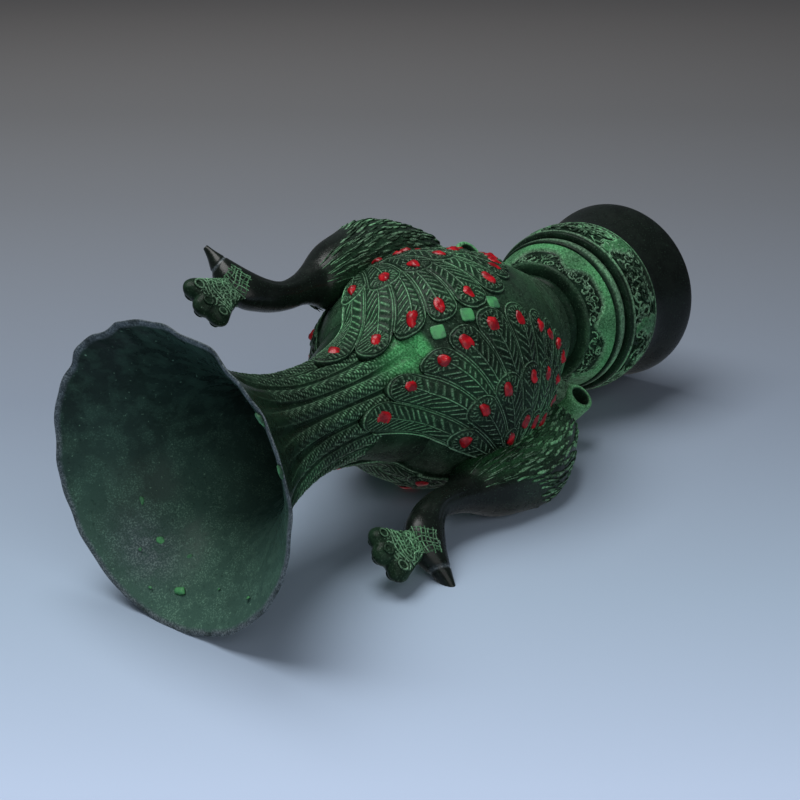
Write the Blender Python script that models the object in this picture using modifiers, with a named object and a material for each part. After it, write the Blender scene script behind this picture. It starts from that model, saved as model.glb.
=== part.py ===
"""Patinated bronze vase with two bird handles: separate castings, pins and inlays.

Lengths are metres. The origin is the centre of the foot's resting face and +Z runs up the axis of the vase.
The birds stand at -X (left) and +X (right). Their tails meet at the front, at -Y, and at the back, at +Y.
"""

import math

import bmesh
import bpy
from mathutils import Matrix, Vector

MM = 0.001

# Fits between the pieces
GAP = 0.3 * MM
SPIGOT_HEIGHT = 3.0 * MM
SPIGOT_WALL = 1.5 * MM
CUT_MARGIN = 5.0 * MM

# Foot ring and the plate that closes the vessel
FOOT_RADIUS = 27.8 * MM
FOOT_TOP_RADIUS = 24.0 * MM
FOOT_HEIGHT = 17.0 * MM
FOOT_RIM_WIDTH = 3.8 * MM
FOOT_WALL = 3.6 * MM
PLATE_RECESS = 7.0 * MM
PLATE_THICKNESS = 1.6 * MM
PLATE_LEDGE = 2.0 * MM

# Lower drum, bead ring and upper tier
DRUM_HEIGHT = 16.2 * MM
DRUM_END_RADIUS = FOOT_TOP_RADIUS + 0.6 * MM
DRUM_BULGE = 1.3 * MM
BEAD_HEIGHT = 4.6 * MM
BEAD_RADIUS = DRUM_END_RADIUS - 1.4 * MM
BEAD_END_RADIUS = BEAD_RADIUS - 0.8 * MM
BEAD_ROUND = 1.5 * MM
TIER_HEIGHT = 9.2 * MM
TIER_FOOT_RADIUS = BEAD_END_RADIUS - 0.1 * MM
TIER_TOP_RADIUS = TIER_FOOT_RADIUS - 4.3 * MM
STACK_WALL = 3.0 * MM
TIER_TOP_THICKNESS = 3.0 * MM

# Waist
WAIST_HEIGHT = 5.0 * MM
WAIST_RADIUS = 14.6 * MM
WAIST_GROOVE = 1.0 * MM
WAIST_BORE = 9.6 * MM

# Belly: a sine curve below the widest line and a rounded shoulder above it
BELLY_HEIGHT = 74.4 * MM
BELLY_FOOT_RADIUS = 15.5 * MM
BELLY_RADIUS = 30.6 * MM
BELLY_WIDEST = 47.0 * MM
BELLY_WALL = 2.4 * MM
BELLY_FLOOR = 4.5 * MM
SHOULDER_RADIUS = 16.2 * MM
LOWER_FULLNESS = 1.08
SHOULDER_POWERS = (2.2, 0.6)

# Neck and mouth: a power curve that opens from the slimmest line of the neck
TRUMPET_HEIGHT = 73.6 * MM
NECK_SLIMMEST = 18.6 * MM
NECK_RADIUS = 13.2 * MM
NECK_BASE_RADIUS = 16.0 * MM
NECK_BASE_POWER = 5.5
NECK_WALL = 2.3 * MM
MOUTH_RADIUS = 36.4 * MM
MOUTH_POWER = 2.36
LIP_ROUND = 0.6 * MM
RIB_COUNT = 18
RIB_DEPTH = 0.9 * MM
RIB_FADE_START = 44.0 * MM
RIB_FADE_END = 62.0 * MM
LOBE_COUNT = 24
LOBE_DEPTH = 0.7 * MM
LOBE_REACH = 5.0 * MM

# Bird handles. Each row is one section through the bird, from the breast's lower end to the beak's tip:
# outer edge and inner edge from the belly's widest line, then half the width across the bird,
# all in units that follow the belly's radius.
BIRD_UNIT = BELLY_RADIUS / 30.6
BIRD_SECTIONS = (
    ((2.9, -30.8), (-6.6, -29.6), 4.6),
    ((6.6, -28.4), (-6.6, -25.5), 7.6),
    ((10.4, -24.7), (-6.6, -21.5), 9.6),
    ((14.6, -18.2), (-6.6, -15.5), 11.2),
    ((17.6, -9.8), (-5.6, -8.5), 12.0),
    ((18.2, -2.6), (-4.8, -0.5), 11.8),
    ((16.8, 3.8), (-4.6, 7.5), 10.8),
    ((14.7, 9.6), (-4.1, 14.2), 9.2),
    ((11.9, 15.0), (-3.1, 18.6), 7.2),
    ((9.6, 19.8), (-1.6, 21.2), 5.6),
    ((7.8, 24.8), (-0.6, 25.2), 4.6),
    ((6.9, 30.0), (-0.6, 31.0), 4.2),
    ((7.3, 33.4), (0.0, 36.4), 4.2),
    ((9.6, 35.8), (1.2, 41.4), 4.6),
    ((12.6, 38.1), (4.0, 47.0), 5.0),
    ((15.9, 40.2), (10.4, 50.4), 4.6),
    ((18.9, 41.6), (15.9, 49.8), 3.4),
    ((21.4, 43.1), (20.4, 47.4), 1.9),
    ((23.1, 44.3), (22.8, 45.6), 0.7),
)
BIRD_SIDES = 14

# Crest: a plate with three round lobes, from the belly's widest line
CREST_HALF_THICKNESS = 2.4 * MM
CREST_FOOT = ((5.6, 46.6), (12.6, 46.6))
CREST_LOBES = ((3.2, 56.4, 2.7), (7.2, 58.4, 3.0), (12.2, 57.6, 3.2))
CREST_WAISTS = ((3.3, 51.6), (13.6, 51.4))
CREST_LOBE_SPANS = ((105, 215), (20, 160), (-30, 75))
CREST_LOBE_POINTS = 6

# Pins that hold each bird to the belly wall
PIN_RADIUS = 1.5 * MM
PIN_HEAD_RADIUS = 2.8 * MM
PIN_HEAD_HEIGHT = 1.4 * MM
PIN_REACH = 7.0 * MM
PIN_SIDES = 16
PIN_HEIGHTS = (-15.0 * MM, 8.0 * MM)

# Loop under each breast
LUG_RADIUS = 4.4 * MM
LUG_BORE = 2.5 * MM
LUG_WIDTH = 8.0 * MM
LUG_STANDOFF = 7.6 * MM
LUG_DROP = 3.2 * MM
LUG_SEAT_HEIGHT = 8.4 * MM
LUG_STEM_WIDTH = 6.0 * MM
LUG_SIDES = 24

# Feather eyes, on an arc round each bird's side, and the squares between the two tails
EYE_RADIUS = 1.9 * MM
EYE_SET = 0.9 * MM
EYE_CROWN = 0.9 * MM
EYE_ROUND = 0.7 * MM
EYE_SIDES = 8
FAN_HEIGHT = 1.0 * MM
FAN_REACH_UP = 1.41606 * (BELLY_HEIGHT - BELLY_WIDEST)
FAN_REACH_DOWN = 0.82553 * BELLY_WIDEST
FAN_REACH_DEGREES = 79.3
FAN_TURNS = (31.9, 23.2, 10.3, -5.1, -18.8, -27.3, -36.0, -46.0)
FAN_OPENING = 0.003
# Relief of the tails: three rows of feathers, each lying on the one outside it.
# Edges are shares of the distance from the bird's side to the outer row's eyes.
FEATHER_LIFT = 0.45 * MM
FEATHER_EDGES = (1.115, 0.735, 0.425)
FEATHER_EDGE_RISE = 0.07
LONG_TIP = 0.055
LONG_TIP_TURNS = (25.0, 45.0)
FAN_LIMITS = (-64.0, 71.0)
FAN_LIMIT_RISE = 6.0
FAN_TOP_MARGIN = 1.0 * MM
FAN_TOP_RISE = 3.0 * MM

# The uppermost feathers climb the foot of the neck as a sleeve
SLEEVE_RADIUS = 19.0 * MM
SLEEVE_TOP_RADIUS = 14.4 * MM
SLEEVE_HEIGHT = 23.0 * MM

# Squares between the tails
SQUARE_HALF = 1.7 * MM
SQUARE_SET = 0.9 * MM
SQUARE_CROWN = 0.5 * MM
SQUARE_SHARES = (0.78102, 0.47445, 0.12044)

# Levels where the sections of the body meet
FOOT_TOP = FOOT_HEIGHT
DRUM_TOP = FOOT_TOP + DRUM_HEIGHT
BEAD_TOP = DRUM_TOP + BEAD_HEIGHT
TIER_TOP = BEAD_TOP + TIER_HEIGHT
WAIST_TOP = TIER_TOP + WAIST_HEIGHT
BELLY_TOP = WAIST_TOP + BELLY_HEIGHT
MOUTH_TOP = BELLY_TOP + TRUMPET_HEIGHT
WIDEST_LEVEL = WAIST_TOP + BELLY_WIDEST

# Spigot radius at each of those levels
FOOT_SPIGOT = FOOT_TOP_RADIUS - SPIGOT_WALL
DRUM_SPIGOT = BEAD_END_RADIUS - STACK_WALL + SPIGOT_WALL
BEAD_SPIGOT = TIER_FOOT_RADIUS - STACK_WALL + SPIGOT_WALL
WAIST_SPIGOT = WAIST_BORE + SPIGOT_WALL
NECK_BORE = NECK_RADIUS - NECK_WALL
NECK_SPIGOT = NECK_BORE + SPIGOT_WALL - GAP

# Facets
TURN_STEPS = 36
BELLY_STEPS = 72
RIBBED_STEPS = 72
FOOT_ROWS = 5
DRUM_ROWS = 5
BELLY_ROWS = 14
HOLLOW_ROWS = 8
TRUMPET_ROWS = 7
SLEEVE_ROWS = 12
BORE_ROWS = 7
SLOPE_STEP = 0.1 * MM

SIDES = {"left": -1.0, "right": 1.0}
FACES = {"front": -1.0, "back": 1.0}


def clear_scene():
    """Removes every object of the scene."""
    for old in list(bpy.data.objects):
        bpy.data.objects.remove(old)


def new_collection(name):
    """Makes a collection of this name in the scene."""
    collection = bpy.data.collections.new(name)
    bpy.context.scene.collection.children.link(collection)
    return collection


def finish(name, colour, roughness, metallic):
    """Makes a Principled material."""
    material = bpy.data.materials.new(name)
    material.use_nodes = True
    shader = material.node_tree.nodes["Principled BSDF"]
    shader.inputs["Base Color"].default_value = (*colour, 1.0)
    shader.inputs["Roughness"].default_value = roughness
    shader.inputs["Metallic"].default_value = metallic
    return material


clear_scene()
PARTS = new_collection("bronze_vase")
CUTTERS = new_collection("cutters")
CUTTERS.hide_render = True
GREEN_BRONZE = finish("green_bronze", (0.045, 0.11, 0.06), 0.55, 0.6)
DARK_BRONZE = finish("dark_bronze", (0.012, 0.018, 0.016), 0.42, 0.7)
RED_ENAMEL = finish("red_enamel", (0.42, 0.008, 0.014), 0.3, 0.0)
GREEN_ENAMEL = finish("green_enamel", (0.06, 0.3, 0.11), 0.4, 0.0)


def new_object(name, mesh, material=None):
    """Adds a mesh as a part, or as a hidden cutter where it has no material."""
    made = bpy.data.objects.new(name, mesh)
    if material is None:
        CUTTERS.objects.link(made)
        made.hide_render = True
        made.display_type = "WIRE"
        return made
    PARTS.objects.link(made)
    if not mesh.materials:
        mesh.materials.append(material)
    mesh.shade_smooth()
    mesh.set_sharp_from_angle(angle=math.radians(40))
    return made


def mesh_from(name, build):
    """Makes a mesh from a function that fills a bmesh, with its faces turned outwards."""
    shape = bmesh.new()
    build(shape)
    bmesh.ops.recalc_face_normals(shape, faces=shape.faces)
    mesh = bpy.data.meshes.new(name)
    shape.to_mesh(mesh)
    shape.free()
    return mesh


def turned_mesh(name, outline, steps):
    """Turns a closed outline of (radius, height), which runs down its outer side, about the axis."""
    profile = bpy.data.meshes.new(name + "_profile")
    points = [(radius, 0.0, height) for radius, height in outline]
    edges = [(i, (i + 1) % len(points)) for i in range(len(points))]
    profile.from_pydata(points, edges, [])
    blank = bpy.data.objects.new(name + "_profile", profile)
    CUTTERS.objects.link(blank)
    screw = blank.modifiers.new("turn", "SCREW")
    screw.steps = steps
    screw.render_steps = steps
    screw.use_merge_vertices = True
    screw.merge_threshold = 0.00001
    screw.use_smooth_shade = True
    bpy.context.view_layer.update()
    graph = bpy.context.evaluated_depsgraph_get()
    mesh = bpy.data.meshes.new_from_object(blank.evaluated_get(graph))
    mesh.name = name
    bpy.data.objects.remove(blank)
    return mesh


def turned(name, outline, material, steps=TURN_STEPS):
    """Adds a turned piece."""
    return new_object(name, turned_mesh(name, outline, steps), material)


def cut(piece, cutter):
    """Takes the cutter's shape out of a piece."""
    boolean = piece.modifiers.new("cut_" + cutter.name, "BOOLEAN")
    boolean.operation = "DIFFERENCE"
    boolean.object = cutter


def join(piece, other):
    """Joins a hidden shape to a piece."""
    boolean = piece.modifiers.new("join_" + other.name, "BOOLEAN")
    boolean.operation = "UNION"
    boolean.object = other


def socket(level, spigot, bore):
    """The foot of a section, from its outer side inwards: the socket that takes the spigot below it."""
    top = level + SPIGOT_HEIGHT + GAP
    return [(spigot + GAP, level + GAP), (spigot + GAP, top), (bore, top)]


def spigot_end(level, spigot, bore):
    """The top of a section, from its bore outwards: the spigot that enters the section above it."""
    top = level + SPIGOT_HEIGHT
    return [(bore, top), (spigot, top), (spigot, level)]


def belly_lower_curve(foot_radius, radius, share):
    """Radius of the belly below its widest line, at a share of the height up to that line."""
    return foot_radius + (radius - foot_radius) * math.sin(math.pi / 2 * share**LOWER_FULLNESS)


def belly_upper_curve(radius, top_radius, share):
    """Radius of the shoulder above the widest line, at a share of the height up to the neck."""
    reach, bend = SHOULDER_POWERS
    return radius - (radius - top_radius) * (1 - (1 - share**reach) ** bend)


def belly_radius(level):
    """Outer radius of the belly at a height."""
    if level <= WIDEST_LEVEL:
        share = max(0.0, (level - WAIST_TOP) / BELLY_WIDEST)
        return belly_lower_curve(BELLY_FOOT_RADIUS, BELLY_RADIUS, share)
    share = min(1.0, (level - WIDEST_LEVEL) / (BELLY_TOP - WIDEST_LEVEL))
    return belly_upper_curve(BELLY_RADIUS, SHOULDER_RADIUS, share)


def belly_outline(rows, grow=0.0):
    """Outer side of the belly as (radius, height), from the neck down to the waist."""
    shares = [math.sin(math.pi / 2 * i / rows) for i in range(rows, 0, -1)]
    shoulder = [WIDEST_LEVEL + (BELLY_TOP - WIDEST_LEVEL) * share for share in shares]
    lower = [WIDEST_LEVEL - BELLY_WIDEST * i / rows for i in range(rows)]
    return [(belly_radius(level) + grow, level) for level in shoulder + lower]


def belly_inside(rows):
    """Inner side of the belly as (radius, height), from the waist up to the neck."""
    floor = WAIST_TOP + BELLY_FLOOR
    top = BELLY_TOP - BELLY_WALL
    inner = BELLY_RADIUS - BELLY_WALL
    points = []
    for i in range(rows):
        share = i / rows
        level = floor + (WIDEST_LEVEL - floor) * share
        points.append((belly_lower_curve(WAIST_BORE, inner, share), level))
    for i in range(rows):
        share = math.sin(math.pi / 2 * i / rows)
        level = WIDEST_LEVEL + (top - WIDEST_LEVEL) * share
        points.append((belly_upper_curve(inner, NECK_BORE, share), level))
    points.append((NECK_BORE, top))
    return points


def belly_inner_radius(level):
    """Inner radius of the belly at a height between its floor and its shoulder."""
    inside = belly_inside(HOLLOW_ROWS)
    for (low_radius, low), (high_radius, high) in zip(inside, inside[1:]):
        if low <= level <= high:
            return low_radius + (high_radius - low_radius) * (level - low) / (high - low)
    return NECK_BORE


def trumpet_radius(rise):
    """Outer radius of the neck and mouth at a height above the shoulder."""
    if rise < NECK_SLIMMEST:
        share = (NECK_SLIMMEST - rise) / NECK_SLIMMEST
        return NECK_RADIUS + (NECK_BASE_RADIUS - NECK_RADIUS) * share**NECK_BASE_POWER
    share = (rise - NECK_SLIMMEST) / (TRUMPET_HEIGHT - NECK_SLIMMEST)
    return NECK_RADIUS + (MOUTH_RADIUS - NECK_RADIUS) * share**MOUTH_POWER


def make_foot():
    """The flared foot ring and the plate on its ledge."""
    ledge = PLATE_RECESS + PLATE_THICKNESS + GAP
    seat_radius = FOOT_RADIUS - FOOT_RIM_WIDTH - GAP
    bore = FOOT_TOP_RADIUS - FOOT_WALL
    plate_radius = bore + PLATE_LEDGE
    flare = FOOT_RADIUS - FOOT_TOP_RADIUS
    outer = []
    for i in range(FOOT_ROWS + 1):
        share = i / FOOT_ROWS
        drawn_in = flare * (1 - math.cos(math.pi * share)) / 2
        outer.append((FOOT_RADIUS - drawn_in, FOOT_HEIGHT * share))
    outline = outer[::-1]
    outline += [(seat_radius, 0.0), (plate_radius + GAP, PLATE_RECESS), (plate_radius + GAP, ledge)]
    outline += [(bore, ledge)]
    outline += spigot_end(FOOT_TOP, FOOT_SPIGOT, bore)
    turned("foot_ring", outline, DARK_BRONZE)

    def disc(shape):
        bmesh.ops.create_cone(
            shape,
            cap_ends=True,
            segments=TURN_STEPS,
            radius1=plate_radius,
            radius2=plate_radius,
            depth=PLATE_THICKNESS,
            matrix=Matrix.Translation((0, 0, PLATE_RECESS + PLATE_THICKNESS / 2)),
        )

    new_object("base_plate", mesh_from("base_plate", disc), DARK_BRONZE)


def make_stack():
    """The drum, bead ring, tier and collar between the foot and the belly."""
    drum_bore = FOOT_TOP_RADIUS - FOOT_WALL
    drum_neck = DRUM_SPIGOT - SPIGOT_WALL
    drum = []
    for i in range(DRUM_ROWS, -1, -1):
        share = i / DRUM_ROWS
        bulge = DRUM_BULGE * math.sin(math.pi * share)
        level = FOOT_TOP + GAP + (DRUM_HEIGHT - GAP) * share
        drum.append((DRUM_END_RADIUS + bulge, level))
    outline = drum + socket(FOOT_TOP, FOOT_SPIGOT, drum_bore)
    outline += [(drum_bore, DRUM_TOP - STACK_WALL), (drum_neck, DRUM_TOP - STACK_WALL / 2)]
    outline += spigot_end(DRUM_TOP, DRUM_SPIGOT, drum_neck)
    turned("lower_drum", outline, GREEN_BRONZE)

    bead_bore = BEAD_SPIGOT - SPIGOT_WALL
    bead_low = DRUM_TOP + GAP
    bead = [
        (BEAD_END_RADIUS, BEAD_TOP),
        (BEAD_RADIUS, BEAD_TOP - BEAD_ROUND),
        (BEAD_RADIUS, bead_low + BEAD_ROUND),
        (BEAD_END_RADIUS, bead_low),
    ]
    outline = bead + socket(DRUM_TOP, DRUM_SPIGOT, bead_bore)
    outline += spigot_end(BEAD_TOP, BEAD_SPIGOT, bead_bore)
    turned("bead_ring", outline, GREEN_BRONZE)

    tier_bore = BEAD_SPIGOT - SPIGOT_WALL
    slope = TIER_TOP_RADIUS - STACK_WALL
    tier = [(TIER_TOP_RADIUS, TIER_TOP), (TIER_FOOT_RADIUS, BEAD_TOP + GAP)]
    outline = tier + socket(BEAD_TOP, BEAD_SPIGOT, tier_bore)
    outline += [(slope, TIER_TOP - TIER_TOP_THICKNESS), (WAIST_BORE, TIER_TOP - TIER_TOP_THICKNESS)]
    outline += spigot_end(TIER_TOP, WAIST_SPIGOT, WAIST_BORE)
    turned("upper_tier", outline, GREEN_BRONZE)

    collar_low = TIER_TOP + GAP
    collar = [
        (WAIST_RADIUS, WAIST_TOP),
        (WAIST_RADIUS - WAIST_GROOVE, (collar_low + WAIST_TOP) / 2),
        (WAIST_RADIUS, collar_low),
    ]
    outline = collar + socket(TIER_TOP, WAIST_SPIGOT, WAIST_BORE)
    outline += spigot_end(WAIST_TOP, WAIST_SPIGOT, WAIST_BORE)
    turned("waist_collar", outline, DARK_BRONZE)


def between(value, start, span):
    """How far a value has come from a start through a span, from 0 to 1."""
    return min(1.0, max(0.0, (value - start) / span))


def belly_normal(bearing, level):
    """Which way the belly faces at a place."""
    above = belly_radius(level + SLOPE_STEP)
    below = belly_radius(level - SLOPE_STEP)
    slope = (above - below) / (2 * SLOPE_STEP)
    return Vector((math.cos(bearing), math.sin(bearing), -slope)).normalized()


def tail_rows(bearing, level):
    """How many rows of feathers lie over a place. A row's edge counts in part."""
    away = math.degrees(math.asin(min(1.0, abs(math.sin(bearing)))))
    rise = level - WIDEST_LEVEL - FAN_HEIGHT
    reach = FAN_REACH_UP if rise > 0 else FAN_REACH_DOWN
    place = Vector((away / FAN_REACH_DEGREES, rise / reach))
    turn = math.degrees(math.atan2(place.y, place.x))
    distance = place.length / (1 + FAN_OPENING * turn)
    first, last = LONG_TIP_TURNS
    outer = FEATHER_EDGES[0] + LONG_TIP * between(turn, first, last - first)
    edges = (outer,) + FEATHER_EDGES[1:]
    rows = sum(between(-distance, -edge, FEATHER_EDGE_RISE) for edge in edges)
    low, high = FAN_LIMITS
    return rows * between(turn, low, FAN_LIMIT_RISE) * between(-turn, -high, FAN_LIMIT_RISE)


def tail_relief(bearing, level):
    """How far the feathers of the tails stand out from the belly at a place."""
    top = between(-level, FAN_TOP_MARGIN - BELLY_TOP, FAN_TOP_RISE)
    return FEATHER_LIFT * tail_rows(bearing, level) * top


def sleeve_reach(bearing, level, radius):
    """How far the uppermost feathers stand out from a radius, round the foot of the neck."""
    taper = (SLEEVE_RADIUS - SLEEVE_TOP_RADIUS) / SLEEVE_HEIGHT
    sleeve = SLEEVE_RADIUS - taper * (level - BELLY_TOP)
    return min(1.0, tail_rows(bearing, level)) * max(0.0, sleeve - radius)


def feathered(name, outline, grow, material):
    """A turned belly whose outer side carries the relief of the tails."""
    mesh = turned_mesh(name, outline, BELLY_STEPS)
    for vertex in mesh.vertices:
        bearing = math.atan2(vertex.co.y, vertex.co.x)
        level = vertex.co.z
        outer = belly_radius(level) + grow
        if abs(math.hypot(vertex.co.x, vertex.co.y) - outer) < SLOPE_STEP:
            vertex.co += belly_normal(bearing, level) * tail_relief(bearing, level)
            out = Vector((math.cos(bearing), math.sin(bearing), 0))
            vertex.co += out * sleeve_reach(bearing, level, outer)
    shape = bmesh.new()
    shape.from_mesh(mesh)
    bmesh.ops.triangulate(shape, faces=shape.faces[:], quad_method="FIXED")
    shape.to_mesh(mesh)
    shape.free()
    return new_object(name, mesh, material)


def make_belly():
    """The belly, with the socket of the waist and the spigot of the neck."""
    outline = belly_outline(BELLY_ROWS)
    outline.append((BELLY_FOOT_RADIUS, WAIST_TOP + GAP))
    outline += socket(WAIST_TOP, WAIST_SPIGOT, WAIST_BORE)
    outline += belly_inside(HOLLOW_ROWS)
    outline += spigot_end(BELLY_TOP, NECK_SPIGOT, NECK_BORE)
    return feathered("belly", outline, 0.0, GREEN_BRONZE)


def belly_blank():
    """The belly grown by the fit, as the cutter that seats the birds and loops on it."""
    outline = belly_outline(BELLY_ROWS, GAP)
    outline.append((BELLY_FOOT_RADIUS + GAP, WAIST_TOP))
    outline.append((WAIST_BORE, WAIST_TOP))
    outline.append((WAIST_BORE, BELLY_TOP))
    return feathered("belly_blank", outline, GAP, None)


def make_trumpet():
    """The ribbed neck and the lobed mouth."""
    low = BELLY_TOP + GAP
    outer = []
    inner = []
    rises = [GAP + (SLEEVE_HEIGHT - GAP) * i / SLEEVE_ROWS for i in range(SLEEVE_ROWS)]
    flare = TRUMPET_HEIGHT - LIP_ROUND - SLEEVE_HEIGHT
    rises += [SLEEVE_HEIGHT + flare * i / TRUMPET_ROWS for i in range(TRUMPET_ROWS + 1)]
    for rise in rises:
        outer.append((trumpet_radius(rise), BELLY_TOP + rise))
    seat = SPIGOT_HEIGHT + 2 * GAP
    start = seat + NECK_WALL
    for i in range(BORE_ROWS):
        rise = start + (TRUMPET_HEIGHT - LIP_ROUND - start) * i / (BORE_ROWS - 1)
        bore = trumpet_radius(max(rise, NECK_SLIMMEST)) - NECK_WALL
        inner.append((bore, BELLY_TOP + rise))
    lip = [(inner[-1][0] + LIP_ROUND, MOUTH_TOP), (outer[-1][0] - LIP_ROUND, MOUTH_TOP)]
    outline = outer[::-1] + socket(BELLY_TOP, NECK_SPIGOT, NECK_BORE) + inner + lip
    mesh = turned_mesh("neck_trumpet", outline, RIBBED_STEPS)
    for vertex in mesh.vertices:
        vertex.co = ribbed(vertex.co, vertex.co.z - BELLY_TOP, low)
    new_object("neck_trumpet", mesh, GREEN_BRONZE)


def ribbed(point, rise, low):
    """A point of the turned neck with the ribs pressed into its outer side and the lobes into its lip."""
    radius = math.hypot(point.x, point.y)
    turn = math.atan2(point.y, point.x)
    outer_side = radius > trumpet_radius(max(rise, GAP)) - NECK_WALL / 2
    depth = 0.0
    if outer_side and point.z > low + GAP:
        fade = (RIB_FADE_END - rise) / (RIB_FADE_END - RIB_FADE_START)
        depth = RIB_DEPTH * min(1.0, max(0.0, fade)) * (1 - math.cos(RIB_COUNT * turn)) / 2
    from_lip = TRUMPET_HEIGHT - rise
    if from_lip < LOBE_REACH:
        lobe = (1 - math.cos(LOBE_COUNT * turn)) / 2
        depth += LOBE_DEPTH * (1 - from_lip / LOBE_REACH) * lobe
    if outer_side:
        depth -= sleeve_reach(turn, BELLY_TOP + rise, radius - depth)
    scale = (radius - depth) / radius
    return Vector((point.x * scale, point.y * scale, point.z))


def from_widest(x, z):
    """A place given in bird units from the belly's widest line, as (x, z) in metres."""
    return BELLY_RADIUS + x * BIRD_UNIT, WIDEST_LEVEL + z * BIRD_UNIT


def bird_mesh(name, side):
    """The bird lofted through its sections."""

    def loft(shape):
        rings = []
        for outer, inner, half_width in BIRD_SECTIONS:
            top = Vector(from_widest(*outer))
            low = Vector(from_widest(*inner))
            middle = (top + low) / 2
            reach = (top - low) / 2
            ring = []
            for i in range(BIRD_SIDES):
                turn = 2 * math.pi * i / BIRD_SIDES
                spot = middle + reach * math.cos(turn)
                across = half_width * BIRD_UNIT * math.sin(turn)
                ring.append(shape.verts.new((side * spot.x, across, spot.y)))
            rings.append(ring)
        for lower, upper in zip(rings, rings[1:]):
            for i in range(BIRD_SIDES):
                j = (i + 1) % BIRD_SIDES
                shape.faces.new((lower[i], lower[j], upper[j], upper[i]))
        shape.faces.new(rings[0])
        shape.faces.new(rings[-1])

    return mesh_from(name, loft)


def crest_outline(grow):
    """The crest's edge, as (x, z), with three round lobes, grown by a clearance."""
    foot_in, foot_out = [Vector(from_widest(*spot)) for spot in CREST_FOOT]
    waist_in, waist_out = [Vector(from_widest(*spot)) for spot in CREST_WAISTS]
    down = Vector((0, -grow))
    points = [foot_out + down + Vector((grow, 0)), waist_out + Vector((grow, 0))]
    for (x, z, radius), (start, end) in reversed(tuple(zip(CREST_LOBES, CREST_LOBE_SPANS))):
        centre = Vector(from_widest(x, z))
        for i in range(CREST_LOBE_POINTS):
            turn = math.radians(start + (end - start) * i / (CREST_LOBE_POINTS - 1))
            arm = Vector((math.cos(turn), math.sin(turn)))
            points.append(centre + arm * (radius * BIRD_UNIT + grow))
    points += [waist_in - Vector((grow, 0)), foot_in + down - Vector((grow, 0))]
    return points


def crest_mesh(name, side, grow=0.0):
    """The crest as a plate across the bird's middle."""
    half = CREST_HALF_THICKNESS + grow

    def plate(shape):
        verts = [shape.verts.new((side * spot.x, -half, spot.y)) for spot in crest_outline(grow)]
        face = shape.faces.new(verts)
        grown = bmesh.ops.extrude_face_region(shape, geom=[face])
        far = [item for item in grown["geom"] if isinstance(item, bmesh.types.BMVert)]
        bmesh.ops.translate(shape, verts=far, vec=(0, 2 * half, 0))

    return mesh_from(name, plate)


def pin_place(height):
    """Where a pin's head meets the belly's inner wall: (x, z)."""
    level = WIDEST_LEVEL + height
    nearest = min(belly_inner_radius(level + step * PIN_HEAD_RADIUS) for step in (-1, 0, 1))
    sagitta = nearest - math.sqrt(nearest**2 - PIN_HEAD_RADIUS**2)
    facet = nearest * (1 - math.cos(math.pi / BELLY_STEPS))
    return nearest - sagitta - facet - GAP, level


def pin_tip(height):
    """How far out a pin reaches into the bird."""
    return belly_radius(WIDEST_LEVEL + height) + PIN_REACH


def rod(shape, side, start, end, level, radius):
    """A round bar along X between two distances from the axis."""
    place = Matrix.Translation((side * (start + end) / 2, 0, level))
    bmesh.ops.create_cone(
        shape,
        cap_ends=True,
        segments=PIN_SIDES,
        radius1=radius,
        radius2=radius,
        depth=end - start,
        matrix=place @ Matrix.Rotation(math.pi / 2, 4, "Y"),
    )


def make_pins(label, side):
    """The two pins of a bird, and the cutter of their holes."""
    for number, height in enumerate(PIN_HEIGHTS, start=1):
        face, level = pin_place(height)
        back = face - PIN_HEAD_HEIGHT

        def shank(shape):
            rod(shape, side, (face + back) / 2, pin_tip(height), level, PIN_RADIUS)

        def head(shape):
            rod(shape, side, back, face, level, PIN_HEAD_RADIUS)

        name = f"handle_pin_{label}_{number}"
        pin = new_object(name, mesh_from(name, shank), DARK_BRONZE)
        join(pin, new_object(name + "_head", mesh_from(name + "_head", head)))

    def holes(shape):
        for height in PIN_HEIGHTS:
            face, level = pin_place(height)
            rod(shape, side, face - CUT_MARGIN, pin_tip(height) + GAP, level, PIN_RADIUS + GAP)

    return new_object("pin_holes_" + label, mesh_from("pin_holes_" + label, holes))


def make_bird(label, side, belly, blank):
    """A bird handle, its crest and its pins."""
    bird = new_object("bird_handle_" + label, bird_mesh("bird_handle_" + label, side), DARK_BRONZE)
    slot = new_object("crest_slot_" + label, crest_mesh("crest_slot_" + label, side, GAP))
    new_object("crest_" + label, crest_mesh("crest_" + label, side), GREEN_BRONZE)
    holes = make_pins(label, side)
    cut(bird, blank)
    cut(bird, slot)
    cut(bird, holes)
    cut(belly, holes)


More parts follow.
